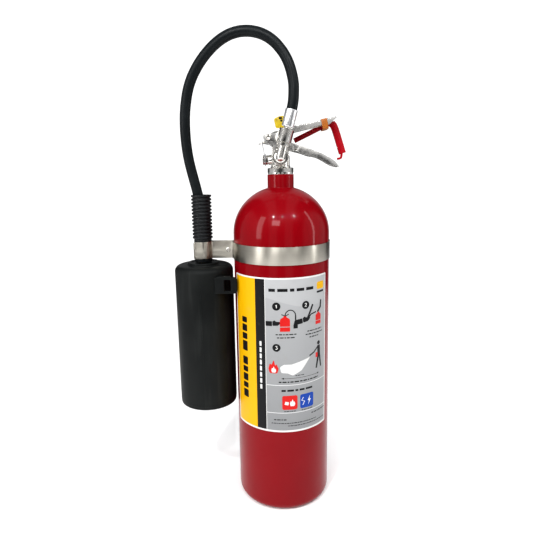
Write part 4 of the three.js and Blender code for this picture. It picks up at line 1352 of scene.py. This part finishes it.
# ---- Wall hook and its tie ----
# The bracket for hanging the extinguisher up is a bar bent into a hook and painted red. It is tied
# beside the lever with a turn of orange plastic strap until it is screwed to a wall.
hook_low, hook_high = extent("wall_hook")
hook_enamel = enamel("hook_enamel", "hook_paint", (0.33, 0.006, 0.013), 0.6)


def bent_bar(points, width, inset):
    """A flat bar with its face towards the front, bent along a line in X and Z."""
    line = smooth_line([Vector(point) for point in points])
    front = hook_low.y + inset
    back = hook_high.y - inset
    return upright(plate(stroke(line, width), back - front, 0.9, segments=3), back)


hook_leg = [(22, 51.2), (43, 61), (62.4, 70.2), (74.5, 75.4), (82, 76), (86, 72.4)]
hook_drop = [(80.6, 76), (84, 72), (88.5, 60), (97.8, 30.6)]
hook_tongue = [(96.6, 34), (96.2, 26.5), (94.6, 23.4), (89.6, 22.4)]
leg_width = 7.6
drop_width = 11
tongue_width = 3.4
rib_width = 2.2
rib_depth = 1.4
leg_rib = upright(plate(
    stroke(smooth_line([Vector(point) for point in hook_leg[:4]]), rib_width), rib_depth, 0.5,
), hook_low.y + 0.9)
fit("hanging_hook", moved(together(
    bent_bar(hook_leg, leg_width, 0.2), bent_bar(hook_drop, drop_width, 0),
    bent_bar(hook_tongue, tongue_width, 0.4), leg_rib,
), on_neck), hook_enamel, "lever", "wall_hook")

orange_strap = Finish(
    "orange_strap", "orange_plastic", (0.34, 0.1, 0.005), 0.4, Subsurface_Weight=0.1,
    Subsurface_Radius=(0.002, 0.001, 0.0005),
)
stretched = orange_strap.noise(1.0, stretch=(900, 60, 60), detail=2)
orange_strap.set("Base Color", orange_strap.blend(
    stretched * 0.6, (0.36, 0.11, 0.006), (0.2, 0.055, 0.003),
))
orange_strap.set("Roughness", 0.34 + stretched * 0.2)
orange_strap.bump(stretched, 0.12, 0.5)
tie_at = 87
tie_width = 9
tie_reach = 0.9
tie_front = -lever_outer - tie_reach
tie_back = hook_high.y + tie_reach
tie_low = -7.1
tie_high = lever_depth + tie_reach
tie_line = softened([
    (tie_front, tie_low, 2.5), (tie_back, tie_low, 2.5),
    (tie_back, tie_high, 2.5), (tie_front, tie_high, 2.5),
], closed=True, steps=5)
tie_centre = sum(tie_line, Vector((0, 0))) / len(tie_line)
tie_inner = [
    tie_centre + Vector(((point - tie_centre).x * 0.93, (point - tie_centre).y * 0.86))
    for point in tie_line
]
STAND_ACROSS = Matrix(((0, 0, 1, 0), (1, 0, 0, 0), (0, 1, 0, 0), (0, 0, 0, 1)))
tie_loop = moved(
    plate(tie_line, tie_width, 0.35, [tie_inner]),
    Matrix.Translation((tie_at - tie_width / 2, 0, 0)) @ STAND_ACROSS,
)
fit("hook_strap", moved(tie_loop, at_pivot), orange_strap, "lever", "hook_tie")

# ---- Safety pin, pull ring and seal ----
# A steel pin locks the lever through the handle and the block. A wire ring hangs in its head, and
# a yellow plastic tag, moulded with its strap, is looped over the pin and shows if it was pulled.
safety_low, safety_high = extent("safety_pin")
ring_low, ring_high = extent("pull_ring")
pin_size = 1.8
pin_head = 4.2
head_depth = 3.2
head_hole = 2
pin_collar = pin_size + 0.9
collar_from = safety_high.y - 5.4
collar_to = safety_high.y - 3.4
pin_centre = on_neck @ Vector((pin_x, 0, pin_height))
at_pin = Matrix.Translation((pin_centre.x, 0, pin_centre.z))
head_eye = upright(plate(
    disc(0, 0, pin_head, 32), head_depth, 0.8, [disc(0, 0, head_hole, 24)], 3,
), head_depth / 2)
fit("locking_pin", together(
    moved(spun(softened([
        (0, safety_low.y), (pin_size, safety_low.y, 0.9), (pin_size, collar_from, 0.2),
        (pin_collar, collar_from + 0.2, 0.4), (pin_collar, collar_to, 0.4), (0, collar_to),
    ]), steps=32), at_pin, ALONG_Y),
    moved(head_eye, at_pin @ Matrix.Translation((0, safety_high.y - 2.5, 0))
          @ Matrix.Rotation(math.radians(90), 4, "Z")),
), spring_steel, "safety_pin", "safety_pin")
ring_wire = (ring_high.y - ring_low.y) / 2
ring_size = (ring_high.x - ring_low.x) / 2 - ring_wire
ring_centre = (ring_low + ring_high) / 2
fit("ring", moved(
    hoop(ring_size, ring_wire * 0.98), Matrix.Translation(ring_centre), IN_XZ,
), spring_steel, "pull_ring", "pull_ring")

yellow_tag = Finish(
    "yellow_tag", "yellow_plastic", (0.5, 0.36, 0.008), 0.36, Subsurface_Weight=0.08,
    Subsurface_Radius=(0.002, 0.0015, 0.0005),
)
moulded = yellow_tag.noise(90, detail=3)
yellow_tag.set("Base Color", yellow_tag.blend(
    moulded * 0.5, (0.56, 0.41, 0.008), (0.36, 0.25, 0.01),
))
yellow_tag.set("Roughness", 0.3 + moulded * 0.15)
yellow_tag.bump(yellow_tag.noise(300, detail=2), 0.05, 0.4)
tag_thickness = 2
strap_low = 69.2
tag_foot = strap_low + 0.3
tag_height = 18.5
strap_back = lever_outer + 0.3
strap_sheet = 1
tag_half = tag_thickness / 2
tag_ink_depth = 0.12
tag_outline = softened([
    (-6.6, tag_foot, 3), (5, tag_foot, 2), (7.4, tag_foot + tag_height, 4),
    (-1, tag_foot + tag_height - 1, 6), (-9.5, tag_foot + 14, 3),
], closed=True, steps=6)
eyelet = disc(pin_x, pin_height, pin_size + 0.3, 24)
strap_ring = upright(
    plate(disc(pin_x, pin_height, pin_size + 1.5, 28), strap_sheet, 0.3, [eyelet]),
    strap_back + strap_sheet,
)
fit("seal_tag", moved(together(
    upright(plate(tag_outline, tag_thickness, 0.6, segments=3), tag_half),
    block(3, 6, -0.9, 0.9, strap_low, tag_foot + 3, 0.4),
    block(3, 8.4, -1.9, strap_back + strap_sheet, strap_low, strap_low + strap_sheet, 0.3),
    block(
        pin_x - 1.4, pin_x + 1.4, strap_back, strap_back + strap_sheet, pin_height + 2.4,
        strap_low + strap_sheet, 0.3,
    ),
    strap_ring,
), on_neck), yellow_tag, "safety_pin", "tamper_seal")
tag_mark = together(*[
    upright(plate(outline, tag_ink_depth, 0), -tag_half + tag_ink_depth / 2)
    for outline in (
        box_of(-1.8, 3, tag_foot + 13, tag_foot + 16.6, 0.8),
        box_of(0.4, 3.4, tag_foot + 9.6, tag_foot + 12.4, 0.6),
        box_of(-7, -3, tag_foot + 12.2, tag_foot + 12.7),
        box_of(-6.6, -2.4, tag_foot + 10.4, tag_foot + 10.9),
    )
])
fit("tag_print", moved(tag_mark, on_neck), ink("tag_ink", (0.03, 0.022, 0.008)), "safety_pin")

# ---- Inside the valve ----
# The dip tube, the brass seat, the steel stem with its return spring and the rubber seals hardly
# show. They keep the CAD model's shapes and take the finishes of the pieces round them.
seal_rubber = rubber("seal_rubber", "seal_rubber", (0.014, 0.014, 0.014), 0.5, 0.03)
for nodes, metal in (
    (("dip_tube",), aluminium),
    (("valve_seat", "burst_disc"), brass),
    (("valve_stem", "stem_spring"), spring_steel),
    (("neck_seal", "stem_o_ring", "elbow_washer"), seal_rubber),
):
    for node in nodes:
        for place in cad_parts[node].material_slots:
            place.material = metal.material

bpy.context.view_layer.update()
